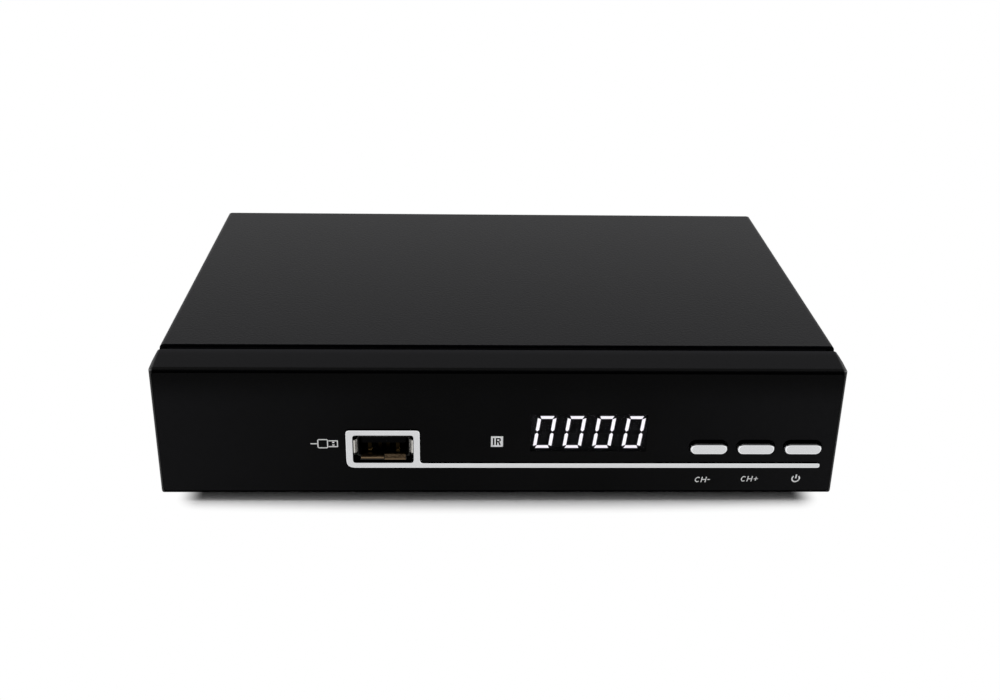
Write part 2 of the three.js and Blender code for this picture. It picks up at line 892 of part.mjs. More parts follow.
// Infrared receiver: a block with a lens that bulges towards the face
function infraredReceiver() {
  const z = bottom + eyeLift;
  const back = frontBoardY - fit;
  const dome = new THREE.SphereGeometry(eyeDome, 12, 6).translate(eyeX, back - eyeDepth, z);
  return joined([
    carriedBack(rectangle(eyeSize, eyeSize, boardCorner / 2, eyeX, z), back - eyeDepth, back, 2),
    solid(dome).subtract(
      block(eyeX - eyeSize, eyeX + eyeSize, back - fit, back + eyeSize, z - eyeSize, z + eyeSize),
    ),
  ]);
}

function frontBoard() {
  const width = frontBoardRight - frontBoardLeft;
  const height = frontBoardTop - frontBoardFoot;
  const plate = rectangle(
    width, height, boardCorner,
    (frontBoardRight + frontBoardLeft) / 2, (frontBoardTop + frontBoardFoot) / 2,
  );
  return cut(
    carriedBack(plate, frontBoardY, frontBoardRear, 2),
    bossPlaces.map(({ x, z }) =>
      rodAlongY(tappingScrew.radius + runningGap, frontBoardY - overrun, frontBoardRear + overrun, x, z, 12),
    ),
  );
}

// Main board with a nose that reaches forward under the USB socket
function mainBoard() {
  const half = mainBoardWidth / 2;
  const nose = wallBack + noseGap;
  const plate = outline([
    [-half, mainBoardFront, boardCorner],
    [noseLeft, mainBoardFront, boardCorner],
    [noseLeft, nose, boardCorner],
    [noseRight, nose, boardCorner],
    [noseRight, mainBoardFront, boardCorner],
    [half, mainBoardFront, boardCorner],
    [half, boardRear, boardCorner],
    [-half, boardRear, boardCorner],
  ]);
  return cut(
    carriedUp(plate, boardFoot, boardTop, 2),
    postPlaces.map(({ x, y }) =>
      rodUpright(machineScrew.radius + runningGap, boardFoot - overrun, boardTop + overrun, x, y, 12),
    ),
  );
}

// Nickel shell of the USB socket: a folded tube, lips flared at its mouth, springs in its floor
function usbShell() {
  const inner = [usbInnerWidth, usbInnerHeight];
  const outer = inner.map((size) => size + 2 * usbWall);
  const wide = [outer[0] + 2 * usbFlareSide, outer[1] + 2 * usbFlareTop];
  const mouth = [inner[0] + 2 * usbFlareSide, inner[1] + 2 * usbFlareTop];
  const [y0, y1] = [usbRecess + usbFlareLength, usbRecess + usbLength];
  const bore = carriedBack(
    rectangle(...inner, usbWall, mouthX, mouthZ), usbRecess - overrun, y1 + overrun, 2,
  );
  const tube = carriedBack(rectangle(...outer, 2 * usbWall, mouthX, mouthZ), y0 - fit, y1, 2);
  const flare = funnel(wide, usbRecess, outer, y0, mouthX, mouthZ).subtract(
    funnel(mouth, usbRecess, inner, y0, mouthX, mouthZ),
  );
  const across = inner[0] / 2 - usbNotch;
  const up = inner[1] / 2 - usbNotch;
  const reach = wide[0];
  const kept = joined([
    block(mouthX - across, mouthX + across, usbRecess, y0, mouthZ - reach, mouthZ + reach),
    block(mouthX - reach, mouthX + reach, usbRecess, y0, mouthZ - up, mouthZ + up),
  ]);
  const floor = mouthZ - usbInnerHeight / 2 - usbWall / 2;
  const springLength = usbLength / 3;
  const springs = [-1, 1].map((side) => {
    const x = mouthX + side * usbSpringSpread;
    const arch = outline([
      [y0 + usbFlareLength, floor],
      [y0 + usbFlareLength + springLength / 2, floor + usbSpringRise + usbWall / 2, usbSpringRise],
      [y0 + usbFlareLength + springLength, floor],
    ]);
    return carriedAcross(arch, x - usbSpringWidth / 2, x + usbSpringWidth / 2);
  });
  return joined([tube.subtract(bore), flare.intersect(kept), ...springs]);
}

// Black tongue of the USB socket, standing out of a block that fills the shell's rear
function usbTongue() {
  const back = usbRecess + usbLength;
  const rear = rectangle(usbInnerWidth - 2 * fit, usbInnerHeight - 2 * fit, usbWall, mouthX, mouthZ);
  const z = mouthZ + usbTongueLift + usbTongueThickness / 2;
  const tongue = rectangle(usbInnerWidth - 2 * usbTongueSide, usbTongueThickness, usbWall, mouthX, z);
  return joined([
    carriedBack(rear, back - usbBlockLength, back, 2),
    carriedBack(tongue, usbRecess + usbTongueSetback, back - usbBlockLength / 2, 2),
  ]);
}

// Header with a slot for the ribbon, its foot on the plane w = 0 and its slot facing away
function headerBlock() {
  const foot = rectangle(headerWidth, headerDepth, fit, 0, 0);
  const slot = rectangle(ribbonWidth + 2 * runningGap, ribbonThickness + 2 * runningGap, 0, 0, 0);
  return carriedUp(foot, 0, headerHeight, 1).subtract(
    carriedUp(slot, headerHeight / 2, headerHeight + overrun, 1),
  );
}

const frontHeaderY = frontBoardRear + fit;
const headerZ = bottom + headerLift;
const mainHeaderY = frontHeaderY + headerHeight + ribbonRun;

// Flat cable that leaves the front header level and drops into the main header
function ribbonCable() {
  const start = new THREE.Vector2(frontHeaderY + headerHeight / 2 + fit, headerZ);
  const end = new THREE.Vector2(mainHeaderY, partFoot + headerHeight / 2 + fit);
  const path = new THREE.CubicBezierCurve(
    start,
    new THREE.Vector2(start.x + ribbonRun, start.y),
    new THREE.Vector2(end.x, end.y + ribbonBow),
    end,
  );
  const count = 14;
  const side = (sign) =>
    Array.from({ length: count + 1 }, (_, i) => {
      const along = path.getTangent(i / count);
      const off = new THREE.Vector2(-along.y, along.x).multiplyScalar((sign * ribbonThickness) / 2);
      return path.getPoint(i / count).add(off);
    });
  const band = new THREE.Shape([...side(-1), ...side(1).reverse()]);
  return carriedAcross(band, headerX - ribbonWidth / 2, headerX + ribbonWidth / 2);
}

// Tuner: a tinned can whose lid stands out a little, with a hole for the aerial socket
function tunerCan() {
  const [x0, x1] = [tunerX - tunerWidth / 2, tunerX + tunerWidth / 2];
  const [y0, y1] = [socketFront - tunerDepth, socketFront];
  const top = partFoot + tunerHeight;
  const inset = tunerLip;
  return joined([
    block(x0 + inset, x1 - inset, y0 + inset, y1 - inset, partFoot, top),
    block(x0, x1, y0, y1, top - tunerHeight / 4, top),
  ]).subtract(
    rodAlongY(barrelRadius + fit, y1 - inset - barrelRoot, y1 + overrun, tunerX, partFoot + barrelLift, 24),
  );
}

function aerialBarrel() {
  const inner = barrelRadius - barrelWall;
  const root = socketFront - tunerLip - barrelRoot + fit;
  return turnedAlongY(
    [
      [inner, root],
      [barrelRadius, root],
      [barrelRadius, barrelEnd - barrelChamfer],
      [barrelRadius - barrelChamfer, barrelEnd],
      [inner, barrelEnd],
      [inner, root],
    ],
    tunerX,
    partFoot + barrelLift,
    24,
  );
}

function aerialInsulator() {
  const outer = barrelRadius - barrelWall - fit;
  const root = socketFront - tunerLip - barrelRoot + fit;
  const end = barrelEnd - insulatorSetback;
  return turnedAlongY(
    [
      [0, root],
      [outer, root],
      [outer, end],
      [insulatorBore, end],
      [insulatorBore, end - insulatorDepth],
      [0, end - insulatorDepth],
    ],
    tunerX,
    partFoot + barrelLift,
    24,
  );
}

// Hexagon nut on the barrel, its corners turned off
function aerialNut() {
  const [y0, y1] = [panelRear + fit, panelRear + fit + nutThickness];
  const flat = barrelRadius + nutRim;
  const corner = flat / Math.cos(Math.PI / 6);
  const chamfer = corner - flat;
  const z = partFoot + barrelLift;
  return rodAlongY(corner, y0, y1, tunerX, z, 6)
    .intersect(
      turnedAlongY(
        [[0, y0], [corner, y0], [corner, y1 - chamfer / 2], [flat, y1], [0, y1]], tunerX, z, 24,
      ),
    )
    .subtract(rodAlongY(barrelRadius + runningGap, y0 - overrun, y1 + overrun, tunerX, z, 24));
}

function avHousing() {
  const z = partFoot + avLift;
  return cut(
    block(
      avX - avReachAcross, avX + avReachAcross,
      socketFront - avDepth, socketFront,
      partFoot, partFoot + avHeight,
    ),
    avSockets.map(({ x }) =>
      rodAlongY(avCollarRadius + fit, socketFront - avRoot - fit, socketFront + overrun, x, z, 24),
    ),
  );
}

// Coloured core of an audio or video socket, grooved for its sleeve and bored for the plug's pin
function avCore() {
  const inner = avSleeveRadius - avSleeveWall - fit;
  const groove = avSleeveRadius + fit;
  const end = avEnd - avCoreSetback;
  return turnedAlongY(
    [
      [0, socketFront - avRoot],
      [avCollarRadius, socketFront - avRoot],
      [avCollarRadius, panelRear + avCollarDepth],
      [groove, panelRear + avCollarDepth],
      [groove, panelRear],
      [inner, panelRear],
      [inner, end],
      [avBore, end],
      [avBore, end - avBoreDepth],
      [0, end - avBoreDepth],
    ],
    0,
    0,
    16,
  );
}

function avSleeve() {
  const inner = avSleeveRadius - avSleeveWall;
  const root = panelRear + fit;
  const round = avSleeveWall / 2;
  return turnedAlongY(
    [
      [inner, root],
      [avSleeveRadius, root],
      [avSleeveRadius, avEnd - round],
      [avSleeveRadius - round, avEnd],
      [inner, avEnd],
      [inner, root],
    ],
    0,
    0,
    20,
  );
}

const hdmiZ = partFoot + hdmiWall + hdmiHeight / 2;
const hdmiEnd = panelRear + hdmiReach;

// Mouth of the HDMI socket: its lower corners slope in
function hdmiOutline(grow) {
  const [w, h] = [hdmiWidth / 2 + grow, hdmiHeight / 2 + grow];
  return outline([
    [hdmiX - w, hdmiZ + h],
    [hdmiX - w, hdmiZ - h + hdmiSlope],
    [hdmiX - w + hdmiSlope, hdmiZ - h],
    [hdmiX + w - hdmiSlope, hdmiZ - h],
    [hdmiX + w, hdmiZ - h + hdmiSlope],
    [hdmiX + w, hdmiZ + h],
  ]);
}

function hdmiShell() {
  const back = hdmiEnd - hdmiLength;
  return carriedBack(hdmiOutline(hdmiWall), back, hdmiEnd).subtract(
    carriedBack(hdmiOutline(0), back - overrun, hdmiEnd + overrun),
  );
}

function hdmiTongue() {
  const back = hdmiEnd - hdmiLength;
  const tongue = rectangle(hdmiTongueWidth, hdmiTongueThickness, hdmiWall, hdmiX, hdmiZ);
  return joined([
    carriedBack(hdmiOutline(-fit), back, back + hdmiBlockLength),
    carriedBack(tongue, back + hdmiBlockLength / 2, hdmiEnd - hdmiTongueSetback, 2),
  ]);
}

const dcZ = partFoot + dcLift;
const dcEnd = panelRear + dcNose;

function dcInlet() {
  const body = rectangle(dcWidth, dcHeight, boardCorner, dcX, partFoot + dcHeight / 2);
  const floor = dcEnd - dcBoreDepth;
  return cut(
    joined([
      carriedBack(body, socketFront - dcDepth, socketFront, 2),
      rodAlongY(dcNoseRadius, socketFront - dcNose, dcEnd, dcX, dcZ, 24),
    ]),
    [
      rodAlongY(dcBore, floor, dcEnd + overrun, dcX, dcZ, 24),
      rodAlongY(dcPinRadius + fit, floor - dcPinRoot - fit, dcEnd, dcX, dcZ, 16),
    ],
  );
}

function dcPin() {
  const root = dcEnd - dcBoreDepth - dcPinRoot;
  const tip = dcEnd - dcPinSetback;
  return turnedAlongY(
    [
      [0, root],
      [dcPinRadius, root],
      [dcPinRadius, tip - dcPinRadius / 2],
      [dcPinRadius / 2, tip],
      [0, tip],
    ],
    dcX,
    dcZ,
    16,
  );
}

// A moulded package with softened upright edges, its foot on the board
const packageBody = (width, length, height, round) =>
  carriedUp(rectangle(width, length, round, 0, 0), 0, height, 2, round / 3);

// Finned heatsink drawn in one outline and carried along the board
function heatsink() {
  const pitch = (sinkSize - finThickness) / (finCount - 1);
  const left = -sinkSize / 2;
  const shape = new THREE.Shape();
  shape.moveTo(left, 0);
  shape.lineTo(left + sinkSize, 0);
  for (let i = finCount - 1; i >= 0; i--) {
    const x = left + i * pitch;
    shape.lineTo(x + finThickness, i === finCount - 1 ? sinkHeight : sinkBase);
    shape.lineTo(x + finThickness, sinkHeight);
    shape.lineTo(x, sinkHeight);
    if (i > 0) shape.lineTo(x, sinkBase);
  }
  return carriedBack(shape, -sinkSize / 2, sinkSize / 2);
}

// Capacitor can, crimped near its foot and rounded at its top
function capacitor() {
  const r = capacitorRadius;
  const g = capacitorGroove;
  return turnedUpright(
    [
      [0, 0],
      [r, 0],
      [r, capacitorFoot],
      [r - g, capacitorFoot + g],
      [r, capacitorFoot + 2 * g],
      [r, capacitorHeight - g],
      [r - g, capacitorHeight],
      [0, capacitorHeight],
    ],
    0,
    0,
    16,
  );
}

// Pan head screw with a cross recess: its shank runs along -Y and its head seats at zero
function screw({ radius, length, head, crown }) {
  const body = turnedAlongY(
    [
      [0, -length],
      [radius / 2, -length],
      [radius, radius / 2 - length],
      [radius, 0],
      [head, 0],
      [head, crown / 2],
      [(2 * head) / 3, crown],
      [0, crown],
    ],
    0,
    0,
    12,
  );
  const arm = head / 2;
  const half = crossWidth / 2;
  return cut(body, [
    block(-arm, arm, crown / 2, crown + overrun, -half, half),
    block(-half, half, crown / 2, crown + overrun, -arm, arm),
  ]);
}

// Finishes: colour, roughness, metalness
const powderCoat = [0x242529, 0.62, 0.1];
const blackMoulding = [0x101012, 0.4, 0];
const glossBlack = [0x060607, 0.12, 0];
const silverPlate = [0xd4d5d8, 0.3, 0.6];
const zincSteel = [0xa9adb0, 0.4, 0.9];
const nickel = [0xc2c0ba, 0.28, 1];
const tinned = [0xb6b8b8, 0.38, 0.9];
const brightScrew = [0xb9bbbe, 0.32, 0.9];
const blackScrew = [0x1b1b1d, 0.45, 0.6];
const circuitGreen = [0x1c5a35, 0.5, 0];
const blackPlastic = [0x151516, 0.5, 0];
const whitePlastic = [0xe4e2da, 0.5, 0];
const rubber = [0x1a1a1a, 0.9, 0];
const moulding = [0x1e1f21, 0.6, 0];
const anodised = [0x2a2b2e, 0.45, 0.7];

const receiver = new THREE.Group();
receiver.position.y = -(frontMost + rearMost) / 2;

function add(name, made, [color, roughness, metalness], place = [0, 0, 0], turn = 0) {
  const raw = made.getMesh();
  const geometry = new THREE.BufferGeometry();
  geometry.setAttribute("position", new THREE.BufferAttribute(raw.vertProperties, raw.numProp));
  geometry.setIndex(new THREE.BufferAttribute(raw.triVerts, 1));
  geometry.computeVertexNormals();
  const material = new THREE.MeshStandardMaterial({ color, roughness, metalness });
  const mesh = new THREE.Mesh(geometry, material);
  mesh.name = name;
  mesh.position.set(...place);
  mesh.rotation.x = turn;
  receiver.add(mesh);
}

// Place on the main board at shares of its width and depth from its middle
const onBoard = ([across, along], lift = 0) => [
  across * mainBoardWidth,
  boardMiddle + along * boardDepth,
  partFoot + lift,
];

const quarter = Math.PI / 2;
const cornerNames = ["rear_right", "rear_left", "front_left", "front_right"];

add("base_tray", baseTray(), zincSteel);
add("top_cover", topCover(), powderCoat);
add("front_bezel", frontBezel(), blackMoulding);
add("front_lens", frontLens(), glossBlack);
add("usb_trim", usbTrim(), silverPlate);
for (const { name, x } of buttons) {
  add(`cap_${name}`, buttonCap(), silverPlate, [x, 0, buttonZ]);
  add(`switch_${name}`, switchBody(), blackPlastic, [x, 0, buttonZ]);
  add(`plunger_${name}`, switchPlunger(), whitePlastic, [x, 0, buttonZ]);
}
add("display_module", displayModule(), blackPlastic);
add("infrared_receiver", infraredReceiver(), blackPlastic);
add("front_board", frontBoard(), circuitGreen);
bossPlaces.forEach(({ x, z }, i) =>
  add(`front_board_screw_${["left", "right"][i]}`, screw(tappingScrew), brightScrew, [x, frontHeaderY, z]),
);
add("front_header", headerBlock(), whitePlastic, [headerX, frontHeaderY, headerZ], -quarter);
add("main_header", headerBlock(), whitePlastic, [headerX, mainHeaderY, partFoot]);
add("ribbon_cable", ribbonCable(), whitePlastic);
add("main_board", mainBoard(), circuitGreen);
add("usb_shell", usbShell(), nickel);
add("usb_tongue", usbTongue(), blackPlastic);
add("tuner_can", tunerCan(), tinned);
add("lnb_barrel", aerialBarrel(), nickel);
add("lnb_insulator", aerialInsulator(), whitePlastic);
add("lnb_nut", aerialNut(), nickel);
add("av_housing", avHousing(), blackPlastic);
for (const { name, x, colour } of avSockets) {
  add(`av_core_${name}`, avCore(), [colour, 0.4, 0], [x, 0, partFoot + avLift]);
  add(`av_sleeve_${name}`, avSleeve(), nickel, [x, 0, partFoot + avLift]);
}
add("hdmi_shell", hdmiShell(), nickel);
add("hdmi_tongue", hdmiTongue(), blackPlastic);
add("dc_inlet", dcInlet(), blackPlastic);
add("dc_pin", dcPin(), nickel);
add("main_chip", packageBody(chipSize, chipSize, chipHeight, boardCorner), moulding, onBoard(chip_shares));
add("heatsink", heatsink(), anodised, onBoard(chip_shares, chipHeight + fit));
add(
  "memory_chip",
  packageBody(memoryWidth, memoryLength, memoryHeight, boardCorner / 2),
  moulding,
  onBoard(memory_shares),
);
capacitor_shares.forEach((shares, i) =>
  add(`capacitor_${i + 1}`, capacitor(), moulding, onBoard(shares)),
);
add(
  "power_coil",
  packageBody(coilSize, coilSize, coilHeight, 2 * boardCorner),
  moulding,
  onBoard(coil_shares),
);
add(
  "clock_crystal",
  packageBody(crystalLength, crystalWidth, crystalHeight, 2 * boardCorner),
  tinned,
  onBoard(crystal_shares),
);
postPlaces.forEach(({ x, y }, i) =>
  add(`board_screw_${cornerNames[i]}`, screw(machineScrew), brightScrew, [x, y, boardTop + fit], quarter),
);
lidScrewPlaces.forEach(({ x, z }, i) =>
  add(`cover_screw_${["left", "right"][i]}`, screw(machineScrew), blackScrew, [x, panelRear + fit, z]),
);
trayCorners.forEach(([u, v], i) =>
  add(`foot_${cornerNames[i]}`, foot(), rubber, [
    u * (trayHalf - footSide),
    v > 0 ? panelRear - footInset : trayFront + footInset,
    0,
  ]),
);

export default receiver;
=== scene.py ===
import math
from functools import cache

import bmesh
import bpy
from bpy.props import (
    FloatProperty, FloatVectorProperty, IntProperty, PointerProperty, StringProperty,
)
from bpy.types import Operator, Panel, PropertyGroup
from mathutils import Matrix, Vector
from mathutils.geometry import tessellate_polygon


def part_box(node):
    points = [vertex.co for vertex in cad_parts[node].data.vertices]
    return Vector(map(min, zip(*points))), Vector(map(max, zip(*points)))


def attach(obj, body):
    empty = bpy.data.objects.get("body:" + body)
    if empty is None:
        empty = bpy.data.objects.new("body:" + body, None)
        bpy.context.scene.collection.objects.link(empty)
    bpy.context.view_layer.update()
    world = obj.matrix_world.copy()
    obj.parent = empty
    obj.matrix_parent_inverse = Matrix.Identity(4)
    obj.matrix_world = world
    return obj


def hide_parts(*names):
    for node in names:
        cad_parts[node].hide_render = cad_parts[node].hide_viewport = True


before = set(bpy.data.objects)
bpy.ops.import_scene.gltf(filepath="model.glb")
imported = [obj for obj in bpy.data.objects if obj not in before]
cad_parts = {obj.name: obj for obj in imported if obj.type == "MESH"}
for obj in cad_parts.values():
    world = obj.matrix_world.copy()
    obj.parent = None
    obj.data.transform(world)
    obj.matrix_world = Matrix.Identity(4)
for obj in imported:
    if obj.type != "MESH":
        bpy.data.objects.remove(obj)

bl_info = {
    "name": "Satellite Receiver Dressing",
    "version": (1, 0, 0),
    "blender": (4, 5, 0),
    "location": "View3D > Sidebar > Receiver",
    "description": "Finishes, display, sockets and stage for a packed satellite receiver",
    "category": "Object",
}

MM = 0.001
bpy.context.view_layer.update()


# Properties that a user would change

def colour(name, description, default):
    return FloatVectorProperty(
        name=name, description=description, default=default, size=3, min=0, max=1, subtype="COLOR"
    )


def length(name, description, millimetres):
    return FloatProperty(
        name=name, description=description, default=millimetres * MM, unit="LENGTH", precision=5
    )


def angle(name, description, degrees):
    return FloatProperty(
        name=name, description=description, default=math.radians(degrees), unit="ROTATION"
    )


def share(name, description, default):
    return FloatProperty(
        name=name, description=description, default=default, min=0, max=1, subtype="FACTOR"
    )


def amount(name, description, default):
    return FloatProperty(name=name, description=description, default=default, min=0)


def spot(name, description, default):
    return FloatVectorProperty(
        name=name, description=description, default=default, size=3, subtype="TRANSLATION"
    )


class FinishSettings(PropertyGroup):
    """Colours of the receiver's finishes, in linear light"""

    powder: colour("Powder coat", "Matt coat of the steel cover", (0.0021, 0.0021, 0.0029))
    moulding: colour("Moulding", "Satin black of the front's shell", (0.004, 0.004, 0.0046))
    face: colour("Face", "Glossy black of the face plate", (0.0016, 0.0016, 0.0018))
    silver: colour("Silver", "Silver plating of the trim and the button caps", (0.66, 0.665, 0.675))
    nickel: colour("Nickel", "Nickel plating of the sockets' shells", (0.66, 0.64, 0.60))
    zinc: colour("Zinc", "Zinc plated steel of the tray", (0.52, 0.54, 0.55))
    screw_steel: colour("Screw steel", "Bright plating of the inner screws", (0.60, 0.61, 0.62))
    black_steel: colour("Black steel", "Blackened cover screws", (0.018, 0.018, 0.020))
    rubber: colour("Rubber", "Black rubber of the feet", (0.014, 0.014, 0.015))
    plastic: colour("Socket plastic", "Black plastic of sockets and switches", (0.01, 0.01, 0.011))
    ivory: colour("Ivory plastic", "Pale plastic of headers and plungers", (0.7, 0.68, 0.6))
    board: colour("Circuit board", "Green solder resist", (0.012, 0.085, 0.034))
    compound: colour("Chip compound", "Dark moulding compound of the chips", (0.016, 0.017, 0.019))
    anodised: colour("Anodised", "Black aluminium of the heatsink", (0.03, 0.031, 0.035))
    gold: colour("Gold", "Gold flash of the contacts", (0.80, 0.52, 0.20))
    # Painted shade: far darker than bronze, for the inside of the USB socket.
    spring: colour("Spring", "Bronze of the springs inside the USB socket", (0.042, 0.029, 0.017))
    print_white: colour("Print", "White screen print on the face", (0.93, 0.94, 0.95))
    yellow: colour("Yellow core", "Core of the video socket", (0.69, 0.46, 0.02))
    white: colour("White core", "Core of the left sound socket", (0.76, 0.76, 0.73))
    red: colour("Red core", "Core of the right sound socket", (0.45, 0.015, 0.012))


class DisplaySettings(PropertyGroup):
    """The lit digits and the window in front of them"""

    digits: StringProperty(name="Digits", description="What the display shows", default="0000")
    height: length("Digit height", "Height of a digit", 9.0)
    width: length("Digit width", "Width of a digit", 4.62)
    pitch: length("Pitch", "Distance from one digit to the next", 7.45)
    slant: angle("Slant", "Lean of the digits", 7.2)
    upright: length("Upright width", "Width of an upright segment", 0.82)
    level: length("Level width", "Width of a level segment", 0.75)
    gap: length("Segment gap", "Gap between two upright segments", 0.42)
    corner_gap: length("Corner gap", "Gap between two segments at an outer corner", 0.58)
    dot: length("Dot", "Diameter of a decimal point", 0.9)
    glow: amount("Glow", "Strength of the lit segments", 1.6)
    lit: colour("Lit", "Colour of the lit segments", (0.96, 0.92, 1.0))
    clearness: share("Clearness", "How much the window lets through", 0.78)
    shift: spot("Shift", "How far the digits stand off the module's middle", (25e-5, 0, -29e-5))
    ahead: length("Ahead", "How far the segments stand in front of the module", 0.06)
    sunk: length("Sunk", "How far the segments reach into the module", 0.02)
    dot_inset: length("Dot inset", "How far a point stands from halfway to the next digit", 0.35)


class PrintSettings(PropertyGroup):
    """The marks printed on the face"""

    film: length("Film", "Thickness of the printed ink", 0.02)
    letter_height: length("Letter height", "Height of the letters under the buttons", 1.55)
    letter_line: length("Letter line", "Width of the letters' lines", 0.26)
    letter_slant: angle("Letter slant", "Lean of the letters", 10)
    letter_rise: length("Letter rise", "Middle of the letters above the foot of the front", 4.02)
    mark_size: length("Receiver mark", "Side of the square mark over the infrared receiver", 3.0)
    plug_length: length("Plug mark", "Length of the plug pictogram beside the USB socket", 6.8)


class DetailSettings(PropertyGroup):
    """Fine shapes of the dressed parts"""

    rim: length("Edge", "Softening of the moulded and folded edges", 0.1)
    thread_pitch: length("Thread pitch", "Pitch of the aerial socket's thread", 0.794)
    thread_depth: length("Thread depth", "Depth of the aerial socket's thread", 0.4)
    cap_round: length("Cap rounding", "Rounding of the button caps' rims", 0.5)
    # Painted shade: the moulding is painted near black within this width of its front.
    edge_shade_width: length("Face edge", "Width of the dark edge along the top of the front", 1.75)
    trim_rim: length("Trim rim", "Rounding of the silver trim's edges", 0.25)
    socket_step: length("Socket step", "How far forward the USB socket's mouth is brought", 0.85)
    mouth_depth: length("Mouth depth", "Depth of what is brought forward there", 1.5)
    contact_width: length("Contact width", "Width of a USB contact", 0.9)
    contact_pitch: length("Contact pitch", "Distance between the inner USB contacts", 2.0)
    contact_thickness: length("Contact thickness", "Thickness of a USB contact", 0.15)
    spring_thickness: length("Spring thickness", "Thickness of a USB spring", 0.2)
    sides: IntProperty(name="Sides", description="Sides of the turned parts", default=48, min=12)


class StageSettings(PropertyGroup):
    """Camera, floor and light"""

    focal: amount("Focal length", "Lens of the camera, in millimetres", 44.74)
    eye: spot("Eye", "Place of the camera", (-0.01023, -0.33166, 0.16805))
    pitch: angle("Pitch", "How far the camera looks down", 24.815)
    yaw: angle("Yaw", "How far the camera turns to the left", -2.080)
    roll: angle("Roll", "How far the camera leans", 1.066)
    floor: colour("Floor", "Colour of the floor", (1.0, 1.0, 1.0))
    shade_inset: spot("Shadow inset", "Start of the fade inside the outline", (88e-4, 3e-4, 0))
    shade_shift: length("Shadow shift", "How far the shadow's middle lies to the right", 1.0)
    shade_arch: length("Shadow arch", "How much further inside the fade starts near the ends", 1.7)
    shade_fade: length("Shadow fade", "Width over which the floor fades to white", 7.0)
    ambient: amount("Ambient", "Light from all round", 0.15)
    front_sun: amount("Front light", "Soft light from the front", 0.3)
    top_sun: amount("Top light", "Soft light from above", 2.45)
    spread: angle("Spread", "Width of the two soft lights, seen from the receiver", 60)


GROUPS = {
    "finishes": FinishSettings,
    "display": DisplaySettings,
    "marks": PrintSettings,
    "details": DetailSettings,
    "stage": StageSettings,
}


def settings(group):
    return getattr(bpy.context.scene, "receiver_" + group)


def chosen(name):
    """A colour among the settings of the finishes."""
    return tuple(getattr(settings("finishes"), name))


def middle_of(node):
    """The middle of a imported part's box."""
    low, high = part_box(node)
    return (low + high) / 2


# Materials

class Field:
    """A value that varies over a surface. Python's operators add the nodes that work it out."""

    def __init__(self, network, socket):
        self.network = network
        self.socket = socket

    def maths(self, operation, *values):
        return self.network.add("Math", {"operation": operation}, dict(enumerate(values)))

    def larger(self, other):
        return self.maths("MAXIMUM", self, other)

    def __add__(self, other):
        return self.maths("ADD", self, other)

    def __sub__(self, other):
        return self.maths("SUBTRACT", self, other)

    def __rsub__(self, other):
        return self.maths("SUBTRACT", other, self)

    def __mul__(self, other):
        return self.maths("MULTIPLY", self, other)

    __radd__ = __add__
    __rmul__ = __mul__

    def size(self):
        return self.maths("ABSOLUTE", self)

    def smooth(self, low, high):
        """0 below low and 1 above high, with a soft step between; high may be the lower one."""
        values = {"Value": self, "From Min": low, "From Max": high}
        return self.network.add("MapRange", {"interpolation_type": "SMOOTHSTEP"}, values)


class Network:
    """A tree of shader nodes under construction."""

    def __init__(self, tree):
        self.tree = tree

    def feed(self, socket, value):
        if isinstance(value, Field):
            self.tree.links.new(value.socket, socket)
        elif socket.type == "RGBA":
            socket.default_value = (*value, 1.0)
        else:
            socket.default_value = value

    def add(self, kind, options=None, sockets=None, output=0):
        """A node of any kind: its options first, then its sockets."""
        node = self.tree.nodes.new("ShaderNode" + kind)
        for name, value in (options or {}).items():
            setattr(node, name, value)
        for name, value in (sockets or {}).items():
            self.feed(node.inputs[name], value)
        return Field(self, node.outputs[output])

    def vector(self, operation, *values, output=0):
        return self.add("VectorMath", {"operation": operation}, dict(enumerate(values)), output)

    def seen_by(self, *rays):
        """1 where one of these kinds of ray looks at the surface."""
        first, *others = [self.add("LightPath", output=f"Is {ray} Ray") for ray in rays]
        for other in others:
            first = first.larger(other)
        return first

    def mixed(self, factor, first, second, end):
        """Joins two shaders and leads them to the surface of an output node."""
        both = self.add("MixShader", sockets={0: factor, 1: first, 2: second})
        self.feed(end.inputs["Surface"], both)


